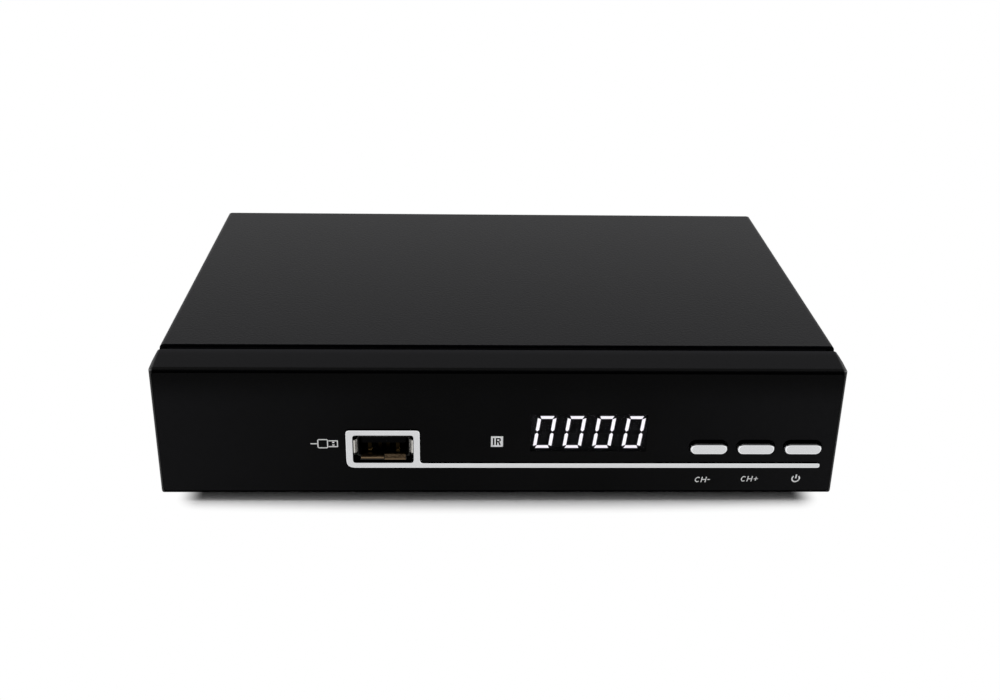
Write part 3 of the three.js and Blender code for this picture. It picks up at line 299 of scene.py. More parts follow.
class Finish(Network):
    """A material under construction, and the shader that its fields feed."""

    def __init__(self, name, base, roughness, metallic=0.0, **constants):
        self.base = base
        self.material = bpy.data.materials.new(name)
        self.material.use_nodes = True
        super().__init__(self.material.node_tree)
        self.shader = self.tree.nodes["Principled BSDF"]
        self.give("Base Color", base)
        self.give("Roughness", roughness)
        self.give("Metallic", metallic)
        for socket, value in constants.items():
            self.give(socket.replace("_", " "), value)

    def give(self, socket, value):
        self.feed(self.shader.inputs[socket], value)

    def place(self, stretch=(1.0, 1.0, 1.0)):
        """The point of the surface, in metres, each axis times its stretch."""
        point = self.add("TexCoord", output="Object")
        return self.vector("MULTIPLY", point, stretch)

    def along(self, axis):
        """One coordinate of the point, in metres."""
        return self.add("SeparateXYZ", sockets={0: self.place()}, output=axis)

    def noise(self, grain, detail=2.0, stretch=(1.0, 1.0, 1.0)):
        """Noise from 0 to 1 whose grains are of this size, in millimetres."""
        values = {"Vector": self.place(stretch), "Scale": 1 / (grain * MM), "Detail": detail}
        return self.add("TexNoise", sockets=values)

    def facing(self, axis):
        """How far the surface looks along an axis, from -1 to 1."""
        normal = self.add("TexCoord", output="Normal")
        return self.add("SeparateXYZ", sockets={0: normal}, output=axis)

    def cells(self, grain, output="Distance"):
        """A value for the cells of a pattern of this size, in millimetres."""
        values = {"Vector": self.place(), "Scale": 1 / (grain * MM)}
        return self.add("TexVoronoi", sockets=values, output=output)

    def blend(self, factor, first, second):
        """A colour from the first to the second. A number stands for that much of the base."""
        ends = [scaled(self.base, c) if isinstance(c, float) else c for c in (first, second)]
        return self.add("Mix", {"data_type": "RGBA"}, {0: factor, 6: ends[0], 7: ends[1]}, 2)

    def tint(self, shade):
        self.give("Base Color", shade)

    def rough(self, roughness):
        self.give("Roughness", roughness)

    def relief(self, height, depth, strength):
        """Raises the surface by a depth in millimetres where height is 1."""
        values = {"Height": height, "Distance": depth * MM, "Strength": strength}
        self.give("Normal", self.add("Bump", sockets=values, output="Normal"))


def scaled(base, factor):
    return tuple(min(1.0, channel * factor) for channel in base)


def powder_coat(name):
    """Matt powder coat: a fine orange peel with paler and darker grains, and painted light on its
    sides.
    """
    finish = Finish(name, chosen("powder"), 0.33, Specular_IOR_Level=0.032)
    grain = finish.noise(0.45, 3.0)
    cloud = finish.noise(14, 3.0)
    speck = finish.cells(0.9).smooth(0.16, 0.08)
    shade = finish.blend(grain.smooth(0.3, 0.7), 0.72, 1.3)
    shade = finish.blend(cloud.smooth(0.35, 0.7) * 0.35, shade, 1.25)
    # Painted light: faces that look to the sides are made lighter.
    shade = finish.blend(finish.facing("X").size().smooth(0.5, 0.9) * 0.8, shade, 6.0)
    finish.tint(finish.blend(speck * 0.5, shade, 0.35))
    finish.rough(0.28 + grain * 0.1)
    peel = finish.noise(0.7, 1.0)
    finish.relief(peel + grain * 0.5, 0.05, 0.7)
    return finish.material


def satin_moulding(name):
    """Moulded black plastic: a spark eroded texture, painted shade along the edge round the face,
    and a painted highlight towards the rear of the top.
    """
    width = settings("details").edge_shade_width
    low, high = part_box("front_bezel")
    finish = Finish(name, chosen("moulding"), 0.42, Specular_IOR_Level=0.02, Coat_Roughness=0.12)
    grain = finish.noise(0.22, 2.0)
    flow = finish.noise(9, 2.0, (0.3, 1.0, 1.0))
    # Painted shade: near black, metallic and rougher close to the front.
    edge = finish.along("Y").smooth(low.y + width, low.y + 0.8 * width)
    side = finish.along("X").size().smooth(high.x - 1.0 * MM, high.x - 0.2 * MM)
    flat = finish.facing("X").size().smooth(0.97, 0.995)
    satin = finish.blend(grain * 0.5 + flow * 0.4, 0.75, 1.3)
    # Painted highlight: lighter from near the rear edge of the top backwards.
    rear_highlight = finish.along("Y").smooth(low.y + 4.1 * width, low.y + 5.4 * width)
    satin = finish.blend(rear_highlight * 0.7, satin, 2.4)
    finish.tint(finish.blend(edge, satin, 0.12))
    finish.rough(0.36 + grain * 0.1 + flow * 0.05 + edge * 0.4)
    finish.give("Metallic", edge)
    finish.give("Coat Weight", side * (1 - flat))
    finish.relief(grain * (1 - edge), 0.012, 0.5)
    return finish.material


def face_gloss(name):
    """Black acrylic painted behind, with a clear window over the display, painted reflection
    towards its ends and painted shade towards its top.
    """
    finish = Finish(name, chosen("face"), 0.07, Specular_IOR_Level=0.036)
    middle = middle_of("display_module")
    display = settings("display")
    reach = 2 * display.pitch - 0.4 * MM
    rise = display.height / 2 + 0.7 * MM
    border = 0.05 * MM
    front, back = [corner.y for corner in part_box("front_lens")]
    spread = finish.along("Y").smooth((front + back) / 2, back) * (1.5 * MM)
    across = ((finish.along("X") - middle.x).size() - spread).smooth(reach + border, reach)
    up = ((finish.along("Z") - middle.z - 0.2 * MM).size() - spread).smooth(rise + border, rise)
    finish.give("Alpha", 1 - across * up * display.clearness)
    haze = finish.noise(30, 3.0)
    dust = finish.cells(2.6).smooth(0.035, 0.015) * finish.noise(5).smooth(0.5, 0.62)
    # Painted reflection: lighter towards both ends.
    wide = finish.along("X").size().smooth(20 * MM, 90 * MM)
    shade = finish.blend(haze.smooth(0.3, 0.75), 0.7, 1.5)
    shade = finish.blend(wide * 0.9, shade, 4.2)
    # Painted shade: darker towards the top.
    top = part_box("front_lens")[1].z
    shade = finish.blend(finish.along("Z").smooth(top - 9 * MM, top) * 0.9, shade, 0.2)
    finish.tint(finish.blend(dust * 0.2, shade, (0.03, 0.03, 0.03)))
    finish.rough(0.05 + haze * 0.06 + dust * 0.3)
    finish.relief(finish.noise(6, 1.0), 0.004, 0.4)
    return finish.material


def metal(name, paint, roughness, metallic, brushed, grain):
    """A metal with fine drawn lines along X, a soft tarnish and a varying gloss."""
    finish = Finish(name, chosen(paint), roughness, metallic)
    lines = finish.noise(grain, 3.0, (brushed, 1.0, 1.0))
    cloud = finish.noise(8, 3.0)
    shade = finish.blend(lines.smooth(0.3, 0.7), 0.88, 1.06)
    finish.tint(finish.blend(cloud.smooth(0.45, 0.75) * 0.3, shade, 0.78))
    finish.rough(roughness - 0.05 + lines * 0.1 + cloud * 0.05)
    finish.relief(lines, 0.004, 0.4)
    return finish.material


def silver_plate(name, shaded):
    """Bright plating: satin in front, polished and with a painted highlight where it rounds off,
    and painted shade where it looks up.
    """
    finish = Finish(name, chosen("silver"), 0.2, 1.0)
    flake = finish.cells(0.16, "Color")
    grey = finish.add("SeparateColor", sockets={0: flake})
    cloud = finish.noise(6, 2.0)
    front = finish.facing("Y")
    rim = front.smooth(-0.995, -0.95)
    wall = front.smooth(-0.75, -0.6) * front.smooth(-0.1, -0.4)
    shade = finish.blend(grey, 0.97, 1.03)
    shade = finish.blend(cloud * 0.3, shade, 0.93)
    # Painted highlight: lighter where the front rounds off.
    shade = finish.blend(rim, shade, 1.36)
    # Painted shade: near black where the surface looks up.
    upper = (finish.facing("Z") + 0.3 * front.size()).smooth(shaded, shaded + 0.14)
    finish.tint(finish.blend(upper, shade, 0.02))
    finish.rough(0.2 + grey * 0.04 + cloud * 0.04 - rim * 0.12)
    finish.give("Metallic", 1 - wall * 0.6)
    finish.relief(grey * (1 - rim), 0.002, 0.3)
    return finish.material


def socket_front(node):
    """Where a part of the USB socket starts once its mouth is brought forward."""
    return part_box(node)[0].y - settings("details").socket_step


def contact_gold(name):
    """Gold of the USB contacts, painted near black as shade of the socket except at their bent
    tips.
    """
    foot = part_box("usb_tongue")[0].z
    front = socket_front("usb_tongue")
    finish = Finish(name, chosen("gold"), 0.3, 1.0)
    grain = finish.noise(0.1, 2.0)
    # Painted shade: near black away from the tips near the front, and the tips dimmed as well.
    tip = finish.along("Z").smooth(foot + 1.0 * MM, foot + 0.7 * MM)
    near = finish.along("Y").smooth(front + 1.0 * MM, front + 0.8 * MM)
    lit = finish.blend(grain, 0.4, 0.7)
    finish.tint(finish.blend(tip * near, 0.01, lit))
    finish.rough(0.25 + grain * 0.1)
    return finish.material


def spring_bronze(name):
    """Bronze with a painted highlight along the front edge and painted shade in the dark of the
    socket behind.
    """
    front = socket_front("usb_shell")
    finish = Finish(name, chosen("spring"), 0.3, 1.0)
    lines = finish.noise(0.4, 3.0, (0.5, 1.0, 1.0))
    depth = finish.along("Y") - front
    shade = finish.blend(lines.smooth(0.35, 0.65), 0.5, 1.3)
    # Painted highlight: lighter along the front edge.
    shade = finish.blend(depth.smooth(0.0, -0.08 * MM), shade, 2.8)
    # Painted shade: near black further into the socket.
    finish.tint(finish.blend(depth.smooth(0.8 * MM, 1.4 * MM), shade, 0.08))
    finish.rough(0.25 + lines * 0.15)
    finish.relief(lines, 0.01, 0.5)
    return finish.material


def socket_nickel(name):
    """Nickel of the USB shell: bright lips at the sides, and painted shade on the lower lip, along
    the top and on the inside.
    """
    low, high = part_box("usb_shell")
    finish = Finish(name, chosen("nickel"), 0.24, 0.6, Specular_IOR_Level=0.1)
    lines = finish.noise(0.12, 3.0, (0.25, 1.0, 1.0))
    shade = finish.blend(lines.smooth(0.3, 0.7), 0.88, 1.06)
    front = socket_front("usb_shell")
    # Painted shade: near black on the lips above and below and further inside.
    deep = finish.along("Y").smooth(front + 0.6 * MM, front + 0.8 * MM)
    level = (finish.along("Z") - (low.z + high.z) / 2 - 0.5 * MM).size()
    lips = level.smooth((high.z - low.z) / 2 - 1.65 * MM, (high.z - low.z) / 2 - 1.4 * MM)
    dark = finish.add("Clamp", sockets={0: lips + deep})
    finish.tint(finish.blend(dark, shade, 0.03))
    finish.rough(0.2 + lines * 0.1)
    finish.relief(lines, 0.004, 0.4)
    return finish.material


def zinc_steel(name):
    """Zinc plated sheet: faint crystals, rolling lines and scuffs, and painted shade, near black,
    in the seam.
    """
    finish = Finish(name, chosen("zinc"), 0.38, 0.9)
    crystal = finish.add("SeparateColor", sockets={0: finish.cells(5, "Color")})
    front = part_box("base_tray")[0].y
    # Painted shade: near black in the seam at the tray's front.
    seam = finish.along("Y").smooth(front + 2.4 * MM, front + 2.0 * MM)
    rolled = finish.noise(0.25, 3.0, (0.05, 1.0, 1.0))
    scuff = finish.noise(0.5, 2.0, (1.0, 0.06, 0.5)).smooth(0.66, 0.74)
    shade = finish.blend(crystal, 0.86, 1.08)
    shade = finish.blend(rolled * 0.35, shade, 0.8)
    shade = finish.blend(scuff * 0.4, shade, 1.25)
    finish.tint(finish.blend(seam, shade, 0.01))
    finish.rough(0.3 + crystal * 0.12 + rolled * 0.1)
    finish.relief(rolled, 0.004, 0.4)
    return finish.material


def moulded(name, paint, roughness, grain=0.2, shine=0.35, painted_dimming=1.0):
    """Moulded plastic: a fine grain, slow changes of tone and a little uneven gloss."""
    # A dimming below 1 darkens the colour as painted shade.
    base = scaled(chosen(paint), painted_dimming)
    finish = Finish(name, base, roughness, Specular_IOR_Level=shine)
    fine = finish.noise(grain, 2.0)
    slow = finish.noise(5, 2.0)
    finish.tint(finish.blend(fine * 0.5 + slow * 0.5, 0.78, 1.2))
    finish.rough(roughness - 0.06 + fine * 0.08 + slow * 0.06)
    finish.relief(fine, 0.01, 0.4)
    return finish.material


def circuit_board(name):
    """Green solder resist over tracks that run along and across the board."""
    finish = Finish(name, chosen("board"), 0.32)
    lanes = finish.noise(1.4, 0.0, (0.08, 1.0, 1.0)).smooth(0.5, 0.53)
    crossing = finish.noise(1.4, 0.0, (1.0, 0.08, 1.0)).smooth(0.53, 0.56)
    track = lanes * (1 - crossing) + crossing * (1 - lanes)
    finish.tint(finish.blend(track, 1.0, 1.9))
    finish.rough(0.36 - track * 0.08)
    finish.relief(track, 0.03, 0.6)
    return finish.material


def screen_print(name):
    """White ink, a little thin and broken at its finest grain."""
    finish = Finish(name, chosen("print_white"), 0.5)
    grain = finish.noise(0.12, 2.0)
    finish.tint(finish.blend(grain.smooth(0.35, 0.6), 0.84, 1.08))
    finish.rough(0.45 + grain * 0.15)
    return finish.material


def segment_glow(name):
    """A lit segment: even light that falls off a little in fine patches."""
    options = settings("display")
    lit = tuple(options.lit)
    finish = Finish(name, scaled(lit, 0.6), 0.4, Emission_Strength=options.glow)
    patch = finish.noise(1.2, 1.0)
    glow = finish.blend(patch.smooth(0.2, 0.8), scaled(lit, 0.93), lit)
    finish.give("Emission Color", glow)
    return finish.material


def display_black(name):
    """The smoked front of the display and its unlit segments, with painted light that makes it a
    little paler round the digits.
    """
    display = settings("display")
    middle = middle_of("display_module")
    finish = Finish(name, scaled(chosen("face"), 9), 0.4, Specular_IOR_Level=0.05)
    grain = finish.noise(0.2, 2.0)
    # Painted light: paler beside and below the digits.
    aside = (finish.along("X") - middle.x).size()
    aside = aside.smooth(2 * display.pitch - 2.2 * MM, 2 * display.pitch - 1.0 * MM)
    foot = middle.z - display.height / 2
    below = finish.along("Z").smooth(foot + 0.3 * MM, foot - 0.6 * MM)
    shade = finish.blend(grain, 0.85, 1.15)
    finish.tint(finish.blend(aside.larger(below), shade, 2.4))
    finish.rough(0.36 + grain * 0.08)
    return finish.material


# Who makes each finish, and from which values; grains are in millimetres
FINISHES = {
    "powder_coat": (powder_coat,),
    "satin_moulding": (satin_moulding,),
    "face_gloss": (face_gloss,),
    "silver_trim": (silver_plate, 0.75),
    "silver_caps": (silver_plate, 0.62),
    "nickel": (metal, "nickel", 0.26, 1.0, 0.25, 0.12),
    "bright_steel": (metal, "screw_steel", 0.3, 1.0, 0.6, 0.1),
    "black_steel": (metal, "black_steel", 0.4, 0.4, 0.6, 0.1),
    "anodised": (metal, "anodised", 0.42, 0.6, 0.2, 0.1),
    "contact_gold": (contact_gold,),
    "spring_bronze": (spring_bronze,),
    "socket_nickel": (socket_nickel,),
    "zinc_steel": (zinc_steel,),
    "black_plastic": (moulded, "plastic", 0.45),
    # A darker copy of the black plastic: painted shade for the USB tongue inside its socket.
    "socket_black": (moulded, "plastic", 0.55, 0.2, 0.02, 0.2),
    "ivory_plastic": (moulded, "ivory", 0.45),
    "chip_compound": (moulded, "compound", 0.6, 0.12),
    "rubber": (moulded, "rubber", 0.85, 0.3),
    "yellow_core": (moulded, "yellow", 0.3),
    "white_core": (moulded, "white", 0.3),
    "red_core": (moulded, "red", 0.3),
    "circuit_board": (circuit_board,),
    "screen_print": (screen_print,),
    "segment_glow": (segment_glow,),
    "display_black": (display_black,),
}


@cache
def material(name):
    """The finish of this name, made when it is first asked for."""
    maker, *values = FINISHES[name]
    return maker(name, *values)


# Outlines, as lists of points in X and Z, in metres

def arc(centre, radius, start, end, steps):
    """Points on an arc from one angle to another, in degrees."""
    turns = [math.radians(start + (end - start) * i / steps) for i in range(steps + 1)]
    return [(centre[0] + radius * math.cos(t), centre[1] + radius * math.sin(t)) for t in turns]


def rounded(low, high, radius):
    """A rectangle between two corners, its own corners rounded."""
    corners = [
        ((high[0] - radius, low[1] + radius), -90),
        ((high[0] - radius, high[1] - radius), 0),
        ((low[0] + radius, high[1] - radius), 90),
        ((low[0] + radius, low[1] + radius), 180),
    ]
    arcs = [arc(centre, radius, start, start + 90, 5) for centre, start in corners]
    return [point for points in arcs for point in points]


def bar(centre, width, height):
    """A plain rectangle about its centre."""
    (x, z), half, rise = centre, width / 2, height / 2
    return [(x - half, z - rise), (x + half, z - rise), (x + half, z + rise), (x - half, z + rise)]


def pill(centre, width, height):
    """A level pill with half round ends."""
    reach, radius = (width - height) / 2, height / 2
    right = arc((centre[0] + reach, centre[1]), radius, -90, 90, 16)
    left = arc((centre[0] - reach, centre[1]), radius, 90, 270, 16)
    return right + left


def bow(centre, radius, line, start, end, steps):
    """A strip of even width along an arc."""
    outside = arc(centre, radius + line / 2, start, end, steps)
    inside = arc(centre, radius - line / 2, end, start, steps)
    return outside + inside


def leaning(points, slant, level):
    """Points leant over to the right by an angle, about a level line."""
    return [(u + (v - level) * math.tan(slant), v) for u, v in points]


def wound(points, turning):
    """The points in anticlockwise order where turning is 1, and clockwise where it is -1."""
    area = sum(a[0] * b[1] - b[0] * a[1] for a, b in zip(points, points[1:] + points[:1]))
    return list(points) if area * turning > 0 else list(reversed(points))


# Solids, as bmeshes in the frame's metres

# Stands a plate that was drawn flat upright, its front towards -Y
UPRIGHT = Matrix(((1, 0, 0), (0, 0, -1), (0, 1, 0))).to_4x4()


def strip(solid, first, second):
    """Faces between two rings of the same number of points."""
    for i in range(len(first)):
        j = (i + 1) % len(first)
        solid.faces.new((first[i], first[j], second[j], second[i]))


def slab(outline, front, back, holes=()):
    """A plate between two places along Y, from an outline and holes in X and Z."""
    solid = bmesh.new()
    rings = [
        [[solid.verts.new((*point, level)) for point in loop] for level in (-back, -front)]
        for loop in [wound(outline, 1)] + [wound(hole, -1) for hole in holes]
    ]
    for ring in rings:
        strip(solid, *ring)
    for caps in zip(*rings):
        flat = [vert for cap in caps for vert in cap]
        for corners in tessellate_polygon([[vert.co for vert in cap] for cap in caps]):
            solid.faces.new([flat[i] for i in corners])
    solid.transform(UPRIGHT)
    return solid


def lofted(rings, closed=False):
    """A skin over rings of the same number of points, closed on itself or capped at its ends."""
    solid = bmesh.new()
    rows = [[solid.verts.new(point) for point in ring] for ring in rings]
    for first, second in zip(rows, rows[1:] + rows[:1] if closed else rows[1:]):
        strip(solid, first, second)
    if not closed:
        solid.faces.new(rows[0])
        solid.faces.new(rows[-1])
    return solid


def bent_strip(path, thickness, left, right):
    """A strip of even thickness that follows a path in Y and Z between two places in X."""
    upper = [(y, z + thickness) for y, z in path]
    outline = path + upper[::-1]
    return lofted([[(x, y, z) for y, z in outline] for x in (left, right)])


def joined(solid):
    """The solid with each group of points at one place made one point."""
    bmesh.ops.remove_doubles(solid, verts=solid.verts, dist=0.001 * MM)
    return solid


def softened(node, rim):
    """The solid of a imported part, its triangles joined into faces and its edges rounded."""
    solid = bmesh.new()
    solid.from_mesh(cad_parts[node].data)
    joined(solid)
    level = math.radians(0.5)
    bmesh.ops.dissolve_limit(solid, angle_limit=level, verts=solid.verts, edges=solid.edges)
    if rim:
        bend = math.radians(40)
        sharp = [e for e in solid.edges if e.is_manifold and e.calc_face_angle(0) > bend]
        bmesh.ops.bevel(
            solid, geom=sharp, offset=rim, segments=2, profile=0.5, affect="EDGES",
            clamp_overlap=True,
        )
    return solid


def brought_forward(solid, limit, step):
    """The solid with all that lies in front of a limit moved forward by a step."""
    for vert in solid.verts:
        if vert.co.y < limit:
            vert.co.y -= step
    return solid


def together(solids):
    """Several solids in one bmesh."""
    whole = bmesh.new()
    for solid in solids:
        mesh = bpy.data.meshes.new("part")
        solid.to_mesh(mesh)
        solid.free()
        whole.from_mesh(mesh)
        bpy.data.meshes.remove(mesh)
    return whole


def placed(name, data):
    """A new object in the scene."""
    thing = bpy.data.objects.new(name, data)
    bpy.context.scene.collection.objects.link(thing)
    return thing


def settle(name, solid, finish, body="housing", replaced=(), sharp=35):
    """Makes a piece of a solid, gives it its finish and lets it ride on its body."""
    bmesh.ops.recalc_face_normals(solid, faces=solid.faces)
    mesh = bpy.data.meshes.new(name)
    solid.to_mesh(mesh)
    solid.free()
    mesh.shade_smooth()
    mesh.set_sharp_from_angle(angle=math.radians(sharp))
    mesh.materials.append(material(finish))
    piece = placed(name, mesh)
    weighted = piece.modifiers.new("flat_faces", "WEIGHTED_NORMAL")
    weighted.keep_sharp = True
    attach(piece, body)
    if replaced:
        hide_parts(*replaced)


def dress(node, finish, edge=0.0, body="housing", sharp=35):
    """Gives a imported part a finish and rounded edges, by a share of the edge in the settings."""
    solid = softened(node, edge * settings("details").rim)
    settle(f"{node}_dressed", solid, finish, body, [node], sharp)


# Operators, one for each piece or group of like pieces

BUTTONS = ("ch_down", "ch_up", "power")
CORNERS = ("rear_right", "rear_left", "front_left", "front_right")
SIDES = ("left", "right")


class Step(Operator):
    """A step of the dressing, run once by the main function"""

    bl_options = {"REGISTER", "UNDO"}


class RECEIVER_OT_cover(Step):
    """Dress the folded steel cover and its two screws"""

    bl_idname = "receiver.cover"
    bl_label = "Cover"

    def execute(self, context):
        dress("top_cover", "powder_coat", 1)
        for side in SIDES:
            dress(f"cover_screw_{side}", "black_steel")
        return {"FINISHED"}


class RECEIVER_OT_front(Step):
    """Dress the moulded shell of the front and its glossy face plate"""

    bl_idname = "receiver.front"
    bl_label = "Front"

    def execute(self, context):
        dress("front_bezel", "satin_moulding", 1)
        dress("front_lens", "face_gloss", 0.5)
        return {"FINISHED"}


class RECEIVER_OT_trim(Step):
    """Dress the silver trim round the USB mouth and under the buttons"""

    bl_idname = "receiver.trim"
    bl_label = "Trim"

    def execute(self, context):
        solid = softened("usb_trim", settings("details").trim_rim)
        settle("usb_trim_dressed", solid, "silver_trim", replaced=["usb_trim"], sharp=50)
        return {"FINISHED"}


def cap_solid(name):
    """A pill cap with a rounded front rim, its flange and its round stem, in one skin."""
    flange_reach, flange_thickness = 0.9 * MM, 1.0 * MM
    stem_width, stem_length = 2.8 * MM, 0.6 * MM
    slimmer, lower = 0.3 * MM, 0.1 * MM
    low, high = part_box(f"cap_{name}")
    middle = ((low.x + high.x) / 2, (low.z + high.z) / 2)
    lowered = (middle[0], middle[1] - lower)
    flange = (high.x - low.x, high.z - low.z)
    cap = (flange[0] - 2 * flange_reach, flange[1] - 2 * flange_reach - slimmer)
    flange_back = high.y - stem_length
    flange_front = flange_back - flange_thickness
    stem_back = min(high.y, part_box(f"switch_{name}")[0].y)
    edge = settings("details").cap_round

    def ring(width, height, y, centre=middle):
        return [(u, y, v) for u, v in pill(centre, width, height)]

    rings = []
    steps = 5
    for step in range(steps + 1):
        turn = math.pi / 2 * step / steps
        inset, y = edge * (1 - math.sin(turn)), low.y + edge * (1 - math.cos(turn))
        rings.append(ring(cap[0] - 2 * inset, cap[1] - 2 * inset, y, lowered))
    rings.append(ring(*cap, flange_front, lowered))
    rings.append(ring(*flange, flange_front))
    rings.append(ring(*flange, flange_back))
    rings.append(ring(stem_width, stem_width, flange_back))
    rings.append(ring(stem_width, stem_width, stem_back))
    return joined(lofted(rings))


class RECEIVER_OT_buttons(Step):
    """Make the silver caps of the buttons, and dress their switches"""

    bl_idname = "receiver.buttons"
    bl_label = "Buttons"

    def execute(self, context):
        for name in BUTTONS:
            node = f"cap_{name}"
            body = f"button_{name}"
            settle(f"{node}_dressed", cap_solid(name), "silver_caps", body, [node], 50)
            dress(f"plunger_{name}", "ivory_plastic", body=body)
            dress(f"switch_{name}", "black_plastic", 1)
        return {"FINISHED"}


LIT_SEGMENTS = {
    "0": "abcdef", "1": "bc", "2": "abdeg", "3": "abcdg", "4": "bcfg",
    "5": "acdfg", "6": "acdefg", "7": "abc", "8": "abcdefg", "9": "abcdfg",
}


def digit_outlines(middle):
    """The seven segments of a digit by their letters, mitred at its corners and leant over."""
    options = settings("display")
    side, top = options.width / 2, options.height / 2
    inner, under = side - options.upright, top - options.level
    outer_cut, inner_cut = options.corner_gap, options.corner_gap * 0.2
    gap, point, half = options.gap / 2, options.upright / 2, options.level / 2
    level = [
        (outer_cut - side, top), (side - outer_cut, top),
        (inner - inner_cut, under), (inner_cut - inner, under),
    ]
    upright = [
        (side, top - outer_cut), (inner, under - inner_cut),
        (inner, gap + point), (side - point, gap), (side, gap + point),
    ]
    cross = [
        (gap + point - side, 0), (gap + 2 * point - side, half), (side - gap - 2 * point, half),
        (side - gap - point, 0), (side - gap - 2 * point, -half), (gap + 2 * point - side, -half),
    ]
    mirrors = {
        "a": (level, 1, 1), "b": (upright, 1, 1), "c": (upright, 1, -1), "d": (level, 1, -1),
        "e": (upright, -1, -1), "f": (upright, -1, 1), "g": (cross, 1, 1),
    }
    outlines = {}
    for letter, (points, across, up) in mirrors.items():
        placed = [(u * across + middle[0], v * up + middle[1]) for u, v in points]
        outlines[letter] = leaning(placed, options.slant, middle[1])
    return outlines


class RECEIVER_OT_display(Step):
    """Dress the display module, and make the segments of its digits"""

    bl_idname = "receiver.display"
    bl_label = "Display"

    def execute(self, context):
        options = settings("display")
        dress("display_module", "display_black", 1)
        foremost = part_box("display_module")[0].y
        front, back = foremost - options.ahead, foremost + options.sunk
        dot_reach = options.pitch / 2 - options.dot_inset
        middle = middle_of("display_module") + options.shift
        for place, shown in enumerate(options.digits):
            centre = middle.x + (place - (len(options.digits) - 1) / 2) * options.pitch
            outlines = digit_outlines((centre, middle.z))
            lit = [slab(outlines[s], front, back) for s in LIT_SEGMENTS[shown]]
            off = [slab(outlines[s], front, back) for s in outlines if s not in LIT_SEGMENTS[shown]]
            dot = (centre + dot_reach, middle.z - options.height / 2)
            off.append(slab(arc(dot, options.dot / 2, 0, 345, 23), front, back))
            settle(f"digit_{place + 1}_lit", together(lit), "segment_glow")
            settle(f"digit_{place + 1}_off", together(off), "display_black")
        dress("infrared_receiver", "black_plastic")
        return {"FINISHED"}


def letter_c(centre, height, line):
    """A C of one strip, a little narrower than high and open to the right."""
    narrow = 0.88
    ring = bow((0, 0), (height - line) / 2, line, 48, 312, 18)
    return [(centre[0] + u * narrow, centre[1] + v) for u, v in ring]


def letter_h(centre, height, line):
    """An H with twelve corners."""
    (x, z), half, arm = centre, height / 2, line / 2
    reach = height * 0.42
    corners = [
        (-reach, -half), (-reach + line, -half), (-reach + line, -arm), (reach - line, -arm),
        (reach - line, -half), (reach, -half), (reach, half), (reach - line, half),
        (reach - line, arm), (-reach + line, arm), (-reach + line, half), (-reach, half),
    ]
    return [(x + u, z + v) for u, v in corners]


def plus(centre, size, line):
    """A plus sign with twelve corners."""
    (x, z), reach, arm = centre, size / 2, line / 2
    quarter = [(reach, -arm), (reach, arm), (arm, arm)]
    corners = []
    for _ in range(4):
        corners += quarter
        quarter = [(-v, u) for u, v in quarter]
    return [(x + u, z + v) for u, v in corners]


def channel_mark(centre, up):
    """The outlines of CH with a plus or a minus sign behind it."""
    options = settings("marks")
    height, line = options.letter_height, options.letter_line
    x, z = centre
    if up:
        sign = plus((x + height * 1.02, z), height * 0.7, line * 0.85)
    else:
        sign = bar((x + height * 0.82, z), height * 0.42, line * 0.9)
    outlines = [letter_c((x - height, z), height, line), letter_h(centre, height, line), sign]
    return [leaning(points, options.letter_slant, z) for points in outlines]


def standby_mark(centre):
    """A broken ring with an upright bar in its gap."""
    options = settings("marks")
    line = options.letter_line * 1.42
    radius = options.letter_height * 0.6
    ring = bow(centre, radius, line, 135, 405, 26)
    stem = bar((centre[0], centre[1] + radius * 0.65), line, radius * 1.25)
    return [leaning(points, options.letter_slant / 2, centre[1]) for points in (ring, stem)]


def plug_mark(centre):
    """A plug in lines, from its side: its grip, the grip's inside, its lead, nose and two holes."""
    options = settings("marks")
    size, line = options.plug_length, options.letter_line
    x, z = centre
    rear, waist, tip = x - size * 0.25, x + size * 0.14, x + size * 0.5
    thick, thin = size * 0.19, size * 0.14
    grip = rounded((rear, z - thick), (waist, z + thick), size * 0.07)
    inside = rounded((rear + line, z - thick + line), (waist - line, z + thick - line), size * 0.03)
    lead = bar((x - size * 0.38, z), size * 0.24, line)
    root = waist + size * 0.01
    nose = [
        (root, z - thin), (tip, z - thin), (tip, z + thin), (root, z + thin),
        (root, z + thin - line), (tip - line, z + thin - line),
        (tip - line, z - thin + line), (root, z - thin + line),
    ]
    apart = size * 0.055
    holes = [bar((x + size * 0.33, z + rise), size * 0.08, size * 0.05) for rise in (-apart, apart)]
    return grip, inside, lead, nose, holes


def receiver_mark(centre):
    """A square with the letters IR left bare: the square, the letters and the eye of the R."""
    size = settings("marks").mark_size
    x, z = centre
    line = size * 0.13
    square = bar(centre, size, size)
    letter_i = bar((x - size * 0.28, z), line, size * 0.68)
    left, right, top, foot = x - size * 0.1, x + size * 0.32, z + size * 0.34, z - size * 0.34
    letter_r = [
        (left, foot), (left + line, foot), (left + line, z - line / 2),
        (x + size * 0.1, z - line / 2), (right - line * 1.1, foot), (right, foot),
        (x + size * 0.2, z), (right, z + size * 0.06),
        (right, top - size * 0.08), (right - size * 0.08, top), (left, top),
    ]
    eye = [
        (left + line, z + line / 2), (right - line, z + line / 2),
        (right - line, top - line), (left + line, top - line),
    ]
    return square, [letter_i, letter_r], eye


# How far each mark stands off its place, along X and Z, in millimetres
MARK_SHIFTS = {
    "ch_down": (-0.35, -0.1),
    "ch_up": (-0.5, 0.1),
    "power": (-0.6, 0.2),
    "receiver": (-0.2, -0.35),
    "plug": (-5.3, 1.3),
}


